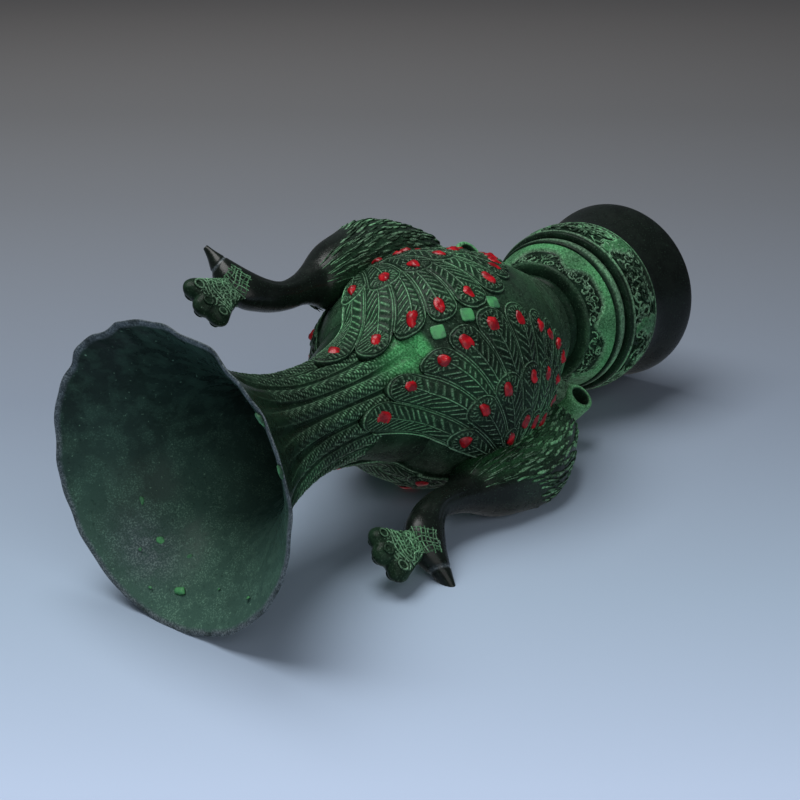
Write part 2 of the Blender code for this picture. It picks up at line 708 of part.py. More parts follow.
def make_lug(label, side, blank):
    """The loop under a bird's breast, on a stem that seats on the belly."""
    seat_level = WAIST_TOP + LUG_SEAT_HEIGHT
    seat = belly_radius(seat_level)
    eye = Vector((seat + LUG_STANDOFF, seat_level - LUG_DROP))
    root = Vector((seat - BELLY_WALL, seat_level))
    run = eye - root

    def cylinder(radius, width):
        def build(shape):
            place = Matrix.Translation((side * eye.x, 0, eye.y))
            bmesh.ops.create_cone(
                shape,
                cap_ends=True,
                segments=LUG_SIDES,
                radius1=radius,
                radius2=radius,
                depth=width,
                matrix=place @ Matrix.Rotation(math.pi / 2, 4, "X"),
            )

        return build

    def stem_bar(shape):
        middle = (root + eye) / 2
        tilt = math.atan2(run.y, side * run.x)
        place = Matrix.Translation((side * middle.x, 0, middle.y)) @ Matrix.Rotation(-tilt, 4, "Y")
        size = Matrix.Diagonal((run.length, LUG_WIDTH - 2 * GAP, LUG_STEM_WIDTH, 1.0))
        bmesh.ops.create_cube(shape, size=1.0, matrix=place @ size)

    name = "lug_" + label
    lug = new_object(name, mesh_from(name, cylinder(LUG_RADIUS, LUG_WIDTH)), GREEN_BRONZE)
    join(lug, new_object("lug_stem_" + label, mesh_from("lug_stem_" + label, stem_bar)))
    bore = cylinder(LUG_BORE, LUG_WIDTH + CUT_MARGIN)
    cut(lug, new_object("lug_bore_" + label, mesh_from("lug_bore_" + label, bore)))
    cut(lug, blank)


def surface_place(bearing, level):
    """Matrix of a place on the belly: its local Z is the surface's normal and its local Y runs up."""
    radius = belly_radius(level) * math.cos(math.pi / BELLY_STEPS / 2)
    normal = belly_normal(bearing, level)
    across = Vector((-math.sin(bearing), math.cos(bearing), 0))
    up = normal.cross(across)
    turn = Matrix((across, up, normal)).transposed().to_4x4()
    spot = Vector((radius * math.cos(bearing), radius * math.sin(bearing), level))
    return Matrix.Translation(spot + normal * tail_relief(bearing, level)) @ turn


def eye_place(side, face, number):
    """Place of one feather eye of the outer row, counted from the shoulder down."""
    turn_degrees = FAN_TURNS[number]
    turn = math.radians(turn_degrees)
    opening = 1 + FAN_OPENING * turn_degrees
    away = math.radians(FAN_REACH_DEGREES * opening * math.cos(turn))
    reach = FAN_REACH_UP if turn > 0 else FAN_REACH_DOWN
    level = WIDEST_LEVEL + FAN_HEIGHT + reach * opening * math.sin(turn)
    bearing = math.atan2(face * math.sin(away), side * math.cos(away))
    return surface_place(bearing, level)


def eye_stone(shape):
    """A round stone with a rounded top, standing on its local Z."""
    height = EYE_SET + EYE_CROWN
    bmesh.ops.create_cone(
        shape,
        cap_ends=True,
        segments=EYE_SIDES,
        radius1=EYE_RADIUS,
        radius2=EYE_RADIUS,
        depth=height,
        matrix=Matrix.Translation((0, 0, EYE_CROWN - height / 2)),
    )
    rim = [edge for edge in shape.edges if min(v.co.z for v in edge.verts) > 0]
    bmesh.ops.bevel(shape, geom=rim, offset=EYE_ROUND, segments=1, affect="EDGES")


def square_stone(shape):
    """A square tablet, standing on its local Z."""
    height = SQUARE_SET + SQUARE_CROWN
    size = Matrix.Diagonal((2 * SQUARE_HALF, 2 * SQUARE_HALF, height, 1.0))
    place = Matrix.Translation((0, 0, SQUARE_CROWN - height / 2))
    bmesh.ops.create_cube(shape, size=1.0, matrix=place @ size)


def make_inlays(belly):
    """The red feather eyes and green squares, and the pockets that they are set in."""
    eye = mesh_from("feather_eye", eye_stone)
    square = mesh_from("tail_square", square_stone)
    eyes = []
    squares = []
    for face_name, face in FACES.items():
        for label, side in SIDES.items():
            for number in range(len(FAN_TURNS)):
                stone = new_object(f"feather_eye_{face_name}_{label}_{number + 1}", eye, RED_ENAMEL)
                stone.matrix_world = eye_place(side, face, number)
                eyes.append(stone.matrix_world.copy())
        for number, share in enumerate(SQUARE_SHARES):
            stone = new_object(f"tail_square_{face_name}_{number + 1}", square, GREEN_ENAMEL)
            level = WIDEST_LEVEL + share * (BELLY_HEIGHT - BELLY_WIDEST)
            stone.matrix_world = surface_place(face * math.pi / 2, level)
            squares.append(stone.matrix_world.copy())

    def pockets(shape):
        lift = Matrix.Translation((0, 0, (CUT_MARGIN - EYE_SET - GAP) / 2))
        for place in eyes:
            bmesh.ops.create_cone(
                shape,
                cap_ends=True,
                segments=EYE_SIDES,
                radius1=EYE_RADIUS + GAP,
                radius2=EYE_RADIUS + GAP,
                depth=CUT_MARGIN + EYE_SET + GAP,
                matrix=place @ lift,
            )
        wide = 2 * (SQUARE_HALF + GAP)
        tall = CUT_MARGIN + SQUARE_SET + GAP
        size = Matrix.Diagonal((wide, wide, tall, 1.0))
        raise_square = Matrix.Translation((0, 0, (CUT_MARGIN - SQUARE_SET - GAP) / 2))
        for place in squares:
            bmesh.ops.create_cube(shape, size=1.0, matrix=place @ raise_square @ size)

    cut(belly, new_object("inlay_pockets", mesh_from("inlay_pockets", pockets)))


make_foot()
make_stack()
BELLY = make_belly()
BLANK = belly_blank()
make_trumpet()
for LABEL, SIDE in SIDES.items():
    make_bird(LABEL, SIDE, BELLY, BLANK)
    make_lug(LABEL, SIDE, BLANK)
make_inlays(BELLY)
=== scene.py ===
"""Patinated bronze vase with two bird handles, lying on a pale floor as in the photo.

Shapes are worked out in millimetres and written to the meshes in metres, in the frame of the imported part:
+Z runs up the axis of the vase, the birds stand at -X (left) and +X (right), and the front is -Y.
"""

import math

import bmesh
import bpy
import numpy as np
from mathutils import Matrix, Vector


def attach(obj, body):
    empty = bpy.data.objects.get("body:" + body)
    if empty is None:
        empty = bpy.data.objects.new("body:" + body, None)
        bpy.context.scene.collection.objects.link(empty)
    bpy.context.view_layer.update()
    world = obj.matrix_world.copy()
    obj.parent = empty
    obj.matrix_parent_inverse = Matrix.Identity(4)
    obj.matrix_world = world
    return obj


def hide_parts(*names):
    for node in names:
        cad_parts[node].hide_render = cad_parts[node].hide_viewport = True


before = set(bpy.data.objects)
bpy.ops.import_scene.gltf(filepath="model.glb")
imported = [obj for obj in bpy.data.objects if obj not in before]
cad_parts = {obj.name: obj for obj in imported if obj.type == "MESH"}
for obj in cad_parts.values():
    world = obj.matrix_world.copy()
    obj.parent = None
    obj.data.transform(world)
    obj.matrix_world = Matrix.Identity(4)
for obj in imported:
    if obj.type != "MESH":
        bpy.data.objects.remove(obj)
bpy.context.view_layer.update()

MM = 0.001
FULL_TURN = 2 * math.pi
SIDES = {"left": -1, "right": 1}
FACES = {"front": -1, "back": 1}
FINE = 1.0

# Levels along the axis, and the belly's greatest radius
FOOT_TOP = 17.0
DRUM_BOTTOM, DRUM_TOP = 17.3, 33.2
BEAD_BOTTOM, BEAD_TOP = 33.5, 37.8
TIER_BOTTOM, TIER_TOP = 38.1, 47.0
WAIST_BOTTOM, WAIST_TOP = 47.3, 52.0
BELLY_BOTTOM, WIDEST, BELLY_TOP = 52.3, 99.0, 126.4
BELLY_RADIUS = 30.6


# Materials


def colour(red, green, blue):
    """A screen colour from 0 to 255 as linear light."""
    parts = [c / 255 for c in (red, green, blue)]
    return tuple(c / 12.92 if c <= 0.04045 else ((c + 0.055) / 1.055) ** 2.4 for c in parts) + (1.0,)


class Nodes:
    """Shorthand for building a node tree."""

    def __init__(self, tree):
        self.tree = tree

    def add(self, kind, settings=None, **inputs):
        node = self.tree.nodes.new(kind)
        for key, value in (settings or {}).items():
            setattr(node, key, value)
        return self.fill(node, **inputs)

    def fill(self, node, **inputs):
        """Fills a node's inputs, with an underscore for each space in their names."""
        for key, value in inputs.items():
            self.put(node.inputs[key.replace("_", " ")], value)
        return node

    def put(self, socket, value):
        if isinstance(value, bpy.types.NodeSocket):
            self.tree.links.new(value, socket)
        else:
            socket.default_value = value

    def math(self, operation, first, second=0.0, clamp=False):
        node = self.add("ShaderNodeMath", {"operation": operation, "use_clamp": clamp})
        self.put(node.inputs[0], first)
        self.put(node.inputs[1], second)
        return node.outputs[0]

    def times(self, first, second, clamp=False):
        return self.math("MULTIPLY", first, second, clamp)

    def plus(self, first, second):
        return self.math("ADD", first, second)

    def mix(self, share, first, second):
        """A mix of two colours, each from a node or given as a screen colour."""
        node = self.add("ShaderNodeMix", {"data_type": "RGBA"})
        for spot, value in ((0, share), (6, first), (7, second)):
            self.put(node.inputs[spot], colour(*value) if isinstance(value, tuple) else value)
        return node.outputs[2]

    def step(self, value, low, high, start=0.0, end=1.0):
        """From start, where the value is low, smoothly to end, where it is high."""
        node = self.add("ShaderNodeMapRange", {"interpolation_type": "SMOOTHSTEP"}, Value=value)
        return self.fill(node, From_Min=low, From_Max=high, To_Min=start, To_Max=end).outputs["Result"]

    def noise(self, place, scale, detail):
        node = self.add("ShaderNodeTexNoise", Vector=place, Scale=scale, Detail=detail, Roughness=0.55)
        return node.outputs["Fac"]

    def field(self, name):
        """A field of the mesh, for a material."""
        return self.add("ShaderNodeAttribute", {"attribute_name": name}).outputs["Fac"]


def new_material(name):
    """An empty material with a shader, and the place on the piece."""
    material = bpy.data.materials.new(name)
    material.use_nodes = True
    material.node_tree.nodes.clear()
    n = Nodes(material.node_tree)
    shader = n.add("ShaderNodeBsdfPrincipled")
    n.add("ShaderNodeOutputMaterial", Surface=shader.outputs[0])
    return material, n, shader, n.add("ShaderNodeTexCoord").outputs["Object"]


def coat(n, shader, body, rough, shine, height, strength):
    """Gives a shader its colour, roughness and shine, and fine bumps of the given strength."""
    bump = n.add("ShaderNodeBump", Strength=strength, Distance=0.0003, Height=height).outputs[0]
    n.fill(shader, Base_Color=body, Roughness=rough, Specular_IOR_Level=shine, Normal=bump)


def bronze_material(name, ground, film, line, bloom, lines_amount, film_amount, shine):
    """Cast bronze: a green film on a dark ground, pale raised lines with painted glints, deposits, and grey
    on wear and on a painted sheen.
    """
    material, n, shader, place = new_material(name)
    broad = n.noise(place, 45.0, 4.0)
    middle = n.noise(place, 260.0, 4.0)
    small = n.noise(place, 1100.0, 3.0)
    grain = n.noise(place, 2600.0, 2.0)
    raised = n.step(n.times(n.field("raised"), n.math("SUBTRACT", 1.0, n.field("dull"))), 0.0, 0.85)
    blotch = n.step(broad, 0.42, 0.68)
    mottle = n.step(middle, 0.38, 0.66)
    film_share = n.plus(n.times(blotch, 0.6), n.times(mottle, 0.4))
    base = n.mix(n.times(film_share, film_amount), ground, film)
    # Painted glints: faint pale specks over the ground.
    base = n.mix(n.step(grain, 0.60, 0.78, 0.0, 0.30), base, line)
    broken = n.times(n.step(small, 0.30, 0.60, 0.25, 1.0), n.step(grain, 0.30, 0.55, 0.50, 1.0))
    strength = n.times(n.times(raised, broken), n.step(broad, 0.40, 0.66, 0.55, 1.25))
    outer = n.mix(n.times(strength, lines_amount, True), base, n.mix(n.times(blotch, 0.5), line, bloom))
    # Painted glints: brighter pale specks on the raised lines.
    painted_glint = n.times(raised, n.step(grain, 0.58, 0.74, 0.0, 0.6))
    outer = n.mix(painted_glint, outer, (176, 206, 184))
    deposit = n.times(n.field("bloom"), n.step(small, 0.25, 0.55, 0.40, 1.0))
    outer = n.mix(deposit, outer, n.mix(n.step(grain, 0.40, 0.65), (58, 136, 78), (96, 180, 116)))
    body = n.mix(n.field("inside"), outer, cup_colour(n, broad, middle, small, grain))
    # Grey where the worn field says: wear on the lip and the beak line, and the painted sheen inside the
    # mouth.
    wear_and_painted_sheen = n.times(n.field("worn"), n.step(middle, 0.30, 0.55, 0.35, 1.0))
    body = n.mix(wear_and_painted_sheen, body, n.mix(n.step(grain, 0.38, 0.68), (62, 71, 76), (112, 122, 126)))
    rough = n.plus(n.step(middle, 0.3, 0.7, 0.22, 0.34), n.times(strength, 0.10))
    height = n.plus(middle, n.plus(n.times(small, 0.6), n.times(grain, 0.2)))
    coat(n, shader, body, rough, shine, height, 0.25)
    return material


def cup_colour(n, broad, middle, small, grain):
    """The inside of the mouth: dark and grainy, with painted light where the pale field says so: paler, with
    light specks, on its lower side.
    """
    pale = n.field("pale")
    # Painted light: the pale field makes the lit lower side of the mouth paler.
    share = n.plus(n.times(broad, 0.42), n.times(pale, 0.36))
    cup = n.mix(n.step(share, 0.14, 0.60), (24, 35, 31), (63, 91, 80))
    cup = n.mix(n.step(middle, 0.42, 0.70, 0.0, 0.24), cup, (66, 98, 82))
    # Painted light: light specks where the pale field is high.
    light = n.times(n.step(grain, 0.48, 0.70), n.times(pale, n.step(middle, 0.40, 0.62, 0.05, 0.6)))
    cup = n.mix(light, cup, (118, 158, 136))
    cup = n.mix(n.step(small, 0.42, 0.28, 0.0, 0.35), cup, (14, 22, 19))
    return n.mix(n.step(small, 0.66, 0.74, 0.0, 0.55), cup, (122, 162, 136))


def enamel_material(name, clean, worn, dark, rough):
    """Enamel, a little uneven, darker in its low edge."""
    material, n, shader, place = new_material(name)
    middle = n.noise(place, 420.0, 3.0)
    small = n.noise(place, 1500.0, 3.0)
    body = n.mix(n.step(middle, 0.38, 0.62), clean, worn)
    body = n.mix(n.times(n.field("low"), n.step(small, 0.25, 0.6, 0.5, 1.0), True), body, dark)
    coat(n, shader, body, rough, 0.3, n.plus(middle, small), 0.2)
    return material


FINISHES = {
    "green_bronze": bronze_material(
        "green bronze",
        ground=(14, 25, 18),
        film=(29, 54, 38),
        line=(124, 164, 132),
        bloom=(92, 178, 112),
        lines_amount=0.95,
        film_amount=0.8,
        shine=0.05,
    ),
    "dark_bronze": bronze_material(
        "dark bronze",
        ground=(13, 18, 15),
        film=(21, 29, 24),
        line=(80, 112, 92),
        bloom=(84, 146, 98),
        lines_amount=0.85,
        film_amount=0.6,
        shine=0.2,
    ),
    "red_enamel": enamel_material("red enamel", (170, 14, 26), (118, 10, 20), (34, 8, 12), 0.32),
    "green_enamel": enamel_material("green enamel", (72, 144, 88), (60, 110, 76), (26, 54, 36), 0.5),
}


# Meshes


def add_object(name, data):
    obj = bpy.data.objects.new(name, data)
    bpy.context.scene.collection.objects.link(obj)
    return obj


def piece(name, mesh, replaced=(), slot="green_bronze"):
    """A finished piece that rides the vase, in the material of its slot."""
    mesh.materials.clear()
    mesh.materials.append(FINISHES[slot])
    mesh.polygons.foreach_set("use_smooth", np.ones(len(mesh.polygons), bool))
    obj = add_object(name, mesh)
    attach(obj, "root")
    if replaced:
        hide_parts(*replaced)


def store(mesh, field, values, kind="FLOAT", part="value"):
    """Keeps a field on the points of a mesh."""
    data = mesh.attributes.new(field, kind, "POINT").data
    data.foreach_set(part, np.ravel(values).astype(np.float32))


def solid(name, points, faces, replaced=(), slot="green_bronze", **fields):
    """A piece from a closed mesh of points in mm, its faces turned outward, with fields on its points."""
    mesh = bpy.data.meshes.new(name)
    mesh.from_pydata(points.reshape(-1, 3) * MM, [], faces)
    for field, values in fields.items():
        store(mesh, field, values)
    mesh.update()
    if inside_out(mesh):
        mesh.flip_normals()
    piece(name, mesh, replaced, slot)


def inside_out(mesh):
    """Whether the faces of a closed mesh look inward."""
    copy = bmesh.new()
    copy.from_mesh(mesh)
    volume = copy.calc_volume(signed=True)
    copy.free()
    return volume < 0


def quads(rows, columns, wrap_rows, wrap_columns):
    """Faces of a grid of points, as indices."""
    i = np.arange(rows if wrap_rows else rows - 1)[:, None]
    j = np.arange(columns if wrap_columns else columns - 1)[None, :]
    below = i * columns
    above = (i + 1) % rows * columns
    right = (j + 1) % columns
    return np.stack([below + j, below + right, above + right, above + j], -1).reshape(-1, 4).tolist()


def round_turns(count):
    return np.linspace(0, FULL_TURN, count, endpoint=False)


def tube_faces(rows, columns):
    """Faces of a row of rings, closed at both ends."""
    last = (rows - 1) * columns
    ends = [list(range(columns))[::-1], list(range(last, last + columns))]
    return quads(rows, columns, False, True) + ends


def profile_of(radius, level, *more):
    """Rows of (radius, level), and more such rows after them."""
    return np.vstack([np.stack([radius, level], 1), *more])


def turned(name, replaced, profile, columns, shape=None, slot="green_bronze"):
    """A piece made by turning a closed profile of (radius, level) rows round the axis.

    shape(turn, radius, level) gives the final radius and level of every point, and the fields of the points.
    """
    columns = int(columns * FINE)
    turn = round_turns(columns)[None, :]
    radius = np.repeat(profile[:, :1], columns, 1)
    level = np.repeat(profile[:, 1:], columns, 1)
    fields = {}
    if shape:
        radius, level, fields = shape(turn, radius, level)
    points = np.stack([radius * np.cos(turn), radius * np.sin(turn), level], -1)
    fields = {field: np.broadcast_to(values, radius.shape) for field, values in fields.items()}
    solid(name, points, quads(len(profile), columns, True, True), [replaced], slot, **fields)


def part_way(value, low, high):
    """How far a value is on the way from low to high, from 0 to 1."""
    return np.clip((value - low) / (high - low), 0, 1)


def smooth(value, low, high):
    share = part_way(value, low, high)
    return share * share * (3 - 2 * share)


def window(value, low, full, fading, high):
    """1 from full to fading, and smoothly down to 0 at low and high."""
    return smooth(value, low, full) * (1 - smooth(value, fading, high))


def ridge(distance, width):
    """1 on a line, falling to 0 at the given distance from it."""
    return np.clip(1 - (np.abs(distance) / width) ** 2, 0, 1)


def wave(phase, sharp):
    """Ridges, one for each whole step of the phase."""
    return (0.5 + 0.5 * np.cos(FULL_TURN * phase)) ** sharp


def larger(first, second, rounding):
    """The larger of two values, rounded off where they meet."""
    return 0.5 * (first + second + np.sqrt((first - second) ** 2 + rounding))


# Body curves. A rise is a height above the belly's top.

WAIST_RADIUS = 15.5
NECK_RADIUS = 13.2
NARROWEST_RISE = 18.6


def belly_radius(level):
    low = part_way(level, WAIST_TOP, WIDEST)
    high = part_way(level, WIDEST, BELLY_TOP)
    lower = WAIST_RADIUS + (BELLY_RADIUS - WAIST_RADIUS) * np.sin(np.pi / 2 * low**1.08)
    upper = BELLY_RADIUS - 14.4 * (1 - (1 - high**2.2) ** 0.6)
    return np.where(level < WIDEST, lower, upper)


def trumpet_radius(rise):
    base = 2.8 * part_way(rise, NARROWEST_RISE, 0) ** 5.5
    flare = 23.2 * np.clip((rise - NARROWEST_RISE) / 55.0, 0, 1) ** 2.36
    return NECK_RADIUS + np.where(rise < NARROWEST_RISE, base, flare)


def sleeve_radius(rise):
    """A sleeve round the foot of the neck."""
    skirt = 2.2 * np.exp(-(np.maximum(rise, -2) + 2) / 3.0)
    return 13.7 + 4.3 * np.clip(1 - rise / 23.0, 0, 1.2) ** 2.0 + skirt


def support_radius(level):
    """What the tail feathers lie on: the belly, then the sleeve."""
    belly = np.where(level > BELLY_TOP, 10.0, belly_radius(np.minimum(level, BELLY_TOP)))
    return larger(belly, sleeve_radius(level - BELLY_TOP), 1.6)


def support_normal(level):
    step = 0.05
    slope = (support_radius(level + step) - support_radius(level - step)) / (2 * step)
    size = np.hypot(1, slope)
    return 1 / size, -slope / size


# Tail feathers. A place in a tail is a distance in mm from the bird's side and a turn in degrees from the
# horizontal. The scale is the distance for a degree round the belly, and the limit is where two tails meet.

FAN_LEVEL = 100.0
FAN_SCALE = 0.4893
FAN_START, FAN_END = -64.0, 71.0
FAN_INNER = 5.0
FAN_LIMIT = 43.85
FAN_HEART = (0, 0, FAN_LEVEL - 10)

# A row of feathers: the turn and the distance of each eye, how far the tips reach past the eyes, and how far
# the notches between the tips lie behind them
OUTER_EYES = ((-46.0, 33.4), (-36.0, 34.6), (-27.3, 35.6), (-18.8, 36.6), (-5.1, 38.2))
OUTER_EYES += ((10.3, 40.0), (23.2, 41.5), (31.9, 42.5), (44.0, 44.3), (60.5, 46.6))
MIDDLE_EYES = ((-56.0, 22.0), (-42.8, 25.9), (-23.0, 25.0), (-4.3, 24.3))
MIDDLE_EYES += ((19.9, 25.0), (38.4, 25.3), (60.4, 21.8))
INNER_EYES = ((-47.0, 15.0), (-23.0, 13.0), (2.0, 13.7), (25.4, 11.0))
OUTER_ROW = (OUTER_EYES, 4.6, 1.2)
MIDDLE_ROW = (MIDDLE_EYES, 3.8, 1.0)
INNER_ROW = (INNER_EYES, 3.4, 0.8)


def row_places(row, turn):
    """The feather at each turn: its turn, its eye's distance, how far across from -1 to 1, half its width."""
    own, reach = np.array(row[0]).T
    middle = (own[1:] + own[:-1]) / 2
    edges = np.concatenate([[2 * own[0] - middle[0]], middle, [2 * own[-1] - middle[-1]]])
    which = np.clip(np.searchsorted(middle, turn), 0, len(own) - 1)
    off = turn - own[which]
    half = np.where(off > 0, edges[which + 1] - own[which], own[which] - edges[which])
    return own[which], reach[which], np.clip(off / half, -1, 1), half


def row_edge(row, turn):
    """How far out the rounded tips of a row reach at a turn."""
    _, front, back = row
    _, reach, across, _ = row_places(row, turn)
    longer = 2.4 * smooth(reach, 43.0, 44.0)
    edge = reach - back + (front + longer + back) * np.sqrt(np.clip(1 - np.abs(across) ** 2.3, 0, 1))
    return np.minimum(edge, FAN_LIMIT / np.maximum(np.cos(np.radians(turn)), 0.3))


def feather_row(row, turn, reach_out):
    """Height and raised lines of one row of feathers, and where it is."""
    own, eye, across, half = row_places(row, turn)
    edge = row_edge(row, turn)
    off = np.radians(turn - own)
    along = eye - reach_out * np.cos(off)
    aside = reach_out * np.sin(off)
    from_side = (1 - np.abs(across)) * np.radians(half) * reach_out
    from_tip = (edge - reach_out) * 0.8
    border = np.minimum(from_side, from_tip)
    from_eye = np.hypot(along, aside * 1.15)
    sway = 0.10 * np.sin(0.9 * along + own)
    barb = wave((along + 1.05 * np.abs(aside) ** 0.88) / 1.95 + sway, 2.6)
    barb *= smooth(np.abs(aside), 0.15, 0.5) * smooth(from_eye, 2.6, 3.3) * smooth(border, 0.6, 1.1)
    ticks = wave(np.arctan2(aside, along) * 15 / FULL_TURN, 2.4)
    ticks *= window(from_eye, 1.7, 2.1, 3.0, 3.7) * smooth(border, 0.6, 1.0)
    quill = ridge(aside, 0.27) * smooth(along, 1.0, 2.0)
    rim = ridge(border - 0.28, 0.28)
    plump = 0.30 * (1 - across**2) * smooth(border, 0.0, 1.5)
    second = ridge(border - 1.1, 0.22) * (along < 5.0)
    height = 0.30 * (1 - np.exp(-np.clip(border, 0, None) / 0.6)) + 0.22 * rim
    height = height + plump + 0.20 * barb + 0.22 * quill + 0.10 * second + 0.16 * ticks
    thin = [0.84 * barb**3.5, 0.86 * quill**4, 0.80 * rim**5, 0.32 * second**3, 0.84 * ticks**3]
    raised = 0.88 * np.clip(np.maximum.reduce(thin), 0.08, 1)
    return height, raised, reach_out < edge


def fan_level(reach_out, turn):
    return FAN_LEVEL + reach_out * np.sin(np.radians(turn))


def fan_point(reach_out, turn, height, side, face):
    """A place in a tail as a point."""
    away = np.radians(reach_out * np.cos(np.radians(turn)) / FAN_SCALE)
    level = fan_level(reach_out, turn)
    out, up = support_normal(level)
    radius = support_radius(level) + height * out
    return np.stack([side * radius * np.cos(away), face * radius * np.sin(away), level + height * up], -1)


def tail_fan(side_name, face_name):
    """One quarter of the feathers: three overlapping rows cast on the belly, closed under the surface."""
    side, face = SIDES[side_name], FACES[face_name]
    columns, rows = int(440 * FINE), int(200 * FINE)
    turn = np.linspace(FAN_START, FAN_END, columns)[None, :]
    edge = np.maximum(row_edge(OUTER_ROW, turn), row_edge(MIDDLE_ROW, turn) + 0.3)
    reach_out = FAN_INNER + (edge - FAN_INNER) * np.linspace(0, 1, rows)[:, None]
    turn = np.repeat(turn, rows, 0)
    height, raised, _ = feather_row(OUTER_ROW, turn, reach_out)
    height = height + 0.05 + 0.25 * smooth(reach_out, 24, 40)
    for row, lift in ((MIDDLE_ROW, 0.5), (INNER_ROW, 0.95)):
        upper, lines, here = feather_row(row, turn, reach_out)
        height = np.where(here, upper + lift, height)
        raised = np.where(here, lines, raised)
    from_end = np.radians(np.minimum(FAN_END - turn, turn - FAN_START)) * reach_out
    line = ridge(from_end - 0.4, 0.4)
    height = height * smooth(from_end, -0.6, 0.5) + 0.25 * line
    raised = np.maximum(raised * smooth(from_end, 0.2, 0.9), 0.9 * line)
    depth = -0.7 - 0.6 * smooth(fan_level(reach_out, turn), 124.5, 127.5)
    top, under = [fan_point(reach_out, turn, high, side, face) for high in (height, depth)]
    closed_sheet(f"tail_fan_{face_name}_{side_name}", top, under, raised)


def closed_sheet(name, top, under, raised):
    """A piece from a relief sheet, closed round its edge and under it, where a few rows are enough."""
    rows, columns = top.shape[:2]
    kept = np.unique(np.linspace(0, rows - 1, 14).astype(int))
    need = np.zeros((rows, columns), bool)
    need[kept, :] = True
    need[:, [0, -1]] = True
    upper = np.arange(rows * columns).reshape(rows, columns)
    lower = np.full((rows, columns), -1)
    lower[need] = rows * columns + np.arange(need.sum())
    faces = quads(rows, columns, False, False)
    sides = ((upper[:, 0], lower[:, 0]), (upper[::-1, -1], lower[::-1, -1]))
    sides += ((upper[0, ::-1], lower[0, ::-1]), (upper[-1], lower[-1]))
    for line, foot in sides:
        faces += np.stack([line[:-1], line[1:], foot[1:], foot[:-1]], 1).tolist()
    for low, high in zip(kept, kept[1:]):
        near, far = lower[low], lower[high]
        faces.append([*lower[low : high + 1, 0].tolist(), int(far[1]), int(near[1])])
        faces.append([*lower[low : high + 1, -1][::-1].tolist(), int(near[-2]), int(far[-2])])
        faces += np.stack([near[1:-2], far[1:-2], far[2:-1], near[2:-1]], 1).tolist()
    points = np.concatenate([top.reshape(-1, 3), under[need]])
    solid(name, points, faces, raised=np.concatenate([raised.ravel(), np.zeros(need.sum())]))


def make_belly():
    """The plain belly under the feathers, with fine rings turned into its lower end."""
    floor_level, hole, wall = 56, 9.6, 2.4
    crown = BELLY_TOP - 8.4 * np.linspace(1, 0, 40)[1:] ** 2
    level = np.concatenate([np.linspace(BELLY_BOTTOM, 80, 190), np.linspace(80.5, 118, 60), crown])
    rings = wave(level / 1.5 + 0.2 * np.sin(level * 0.9), 2.5) * (0.65 + 0.35 * np.sin(level * 2.3))
    rings = rings * window(level, 53, 56, 66, 78)
    inner_level = np.linspace(BELLY_TOP - 0.2, floor_level, 30)
    inner = profile_of(np.maximum(belly_radius(inner_level) - wall, 10.0), inner_level)
    inner[-1] = (hole, floor_level)
    inner = np.vstack([[11.0, BELLY_TOP], inner, [hole, BELLY_BOTTOM]])
    raised = np.concatenate([0.32 * rings + 0.16, np.zeros(len(inner))])[:, None]

    def shape(turn, radius, level):
        toward_bird = np.abs(np.cos(turn))
        patch = smooth(level, 122.5, 124) * (1 - smooth(toward_bird, 0.10, 0.22))
        haze = smooth(toward_bird, 0.70, 0.95) * window(level, 54, 60, 76, 90)
        return radius, level, {"raised": raised, "bloom": np.maximum(0.95 * patch, 0.4 * haze)}

    profile = profile_of(belly_radius(level) + 0.14 * rings, level, inner)
    turned("belly_body", "belly", profile, 240, shape)


# The neck's ribs, and the bare patch beside each bird
NECK_RIBS = 18
BARE_RISE = 15.5
BARE_DEGREES = 44


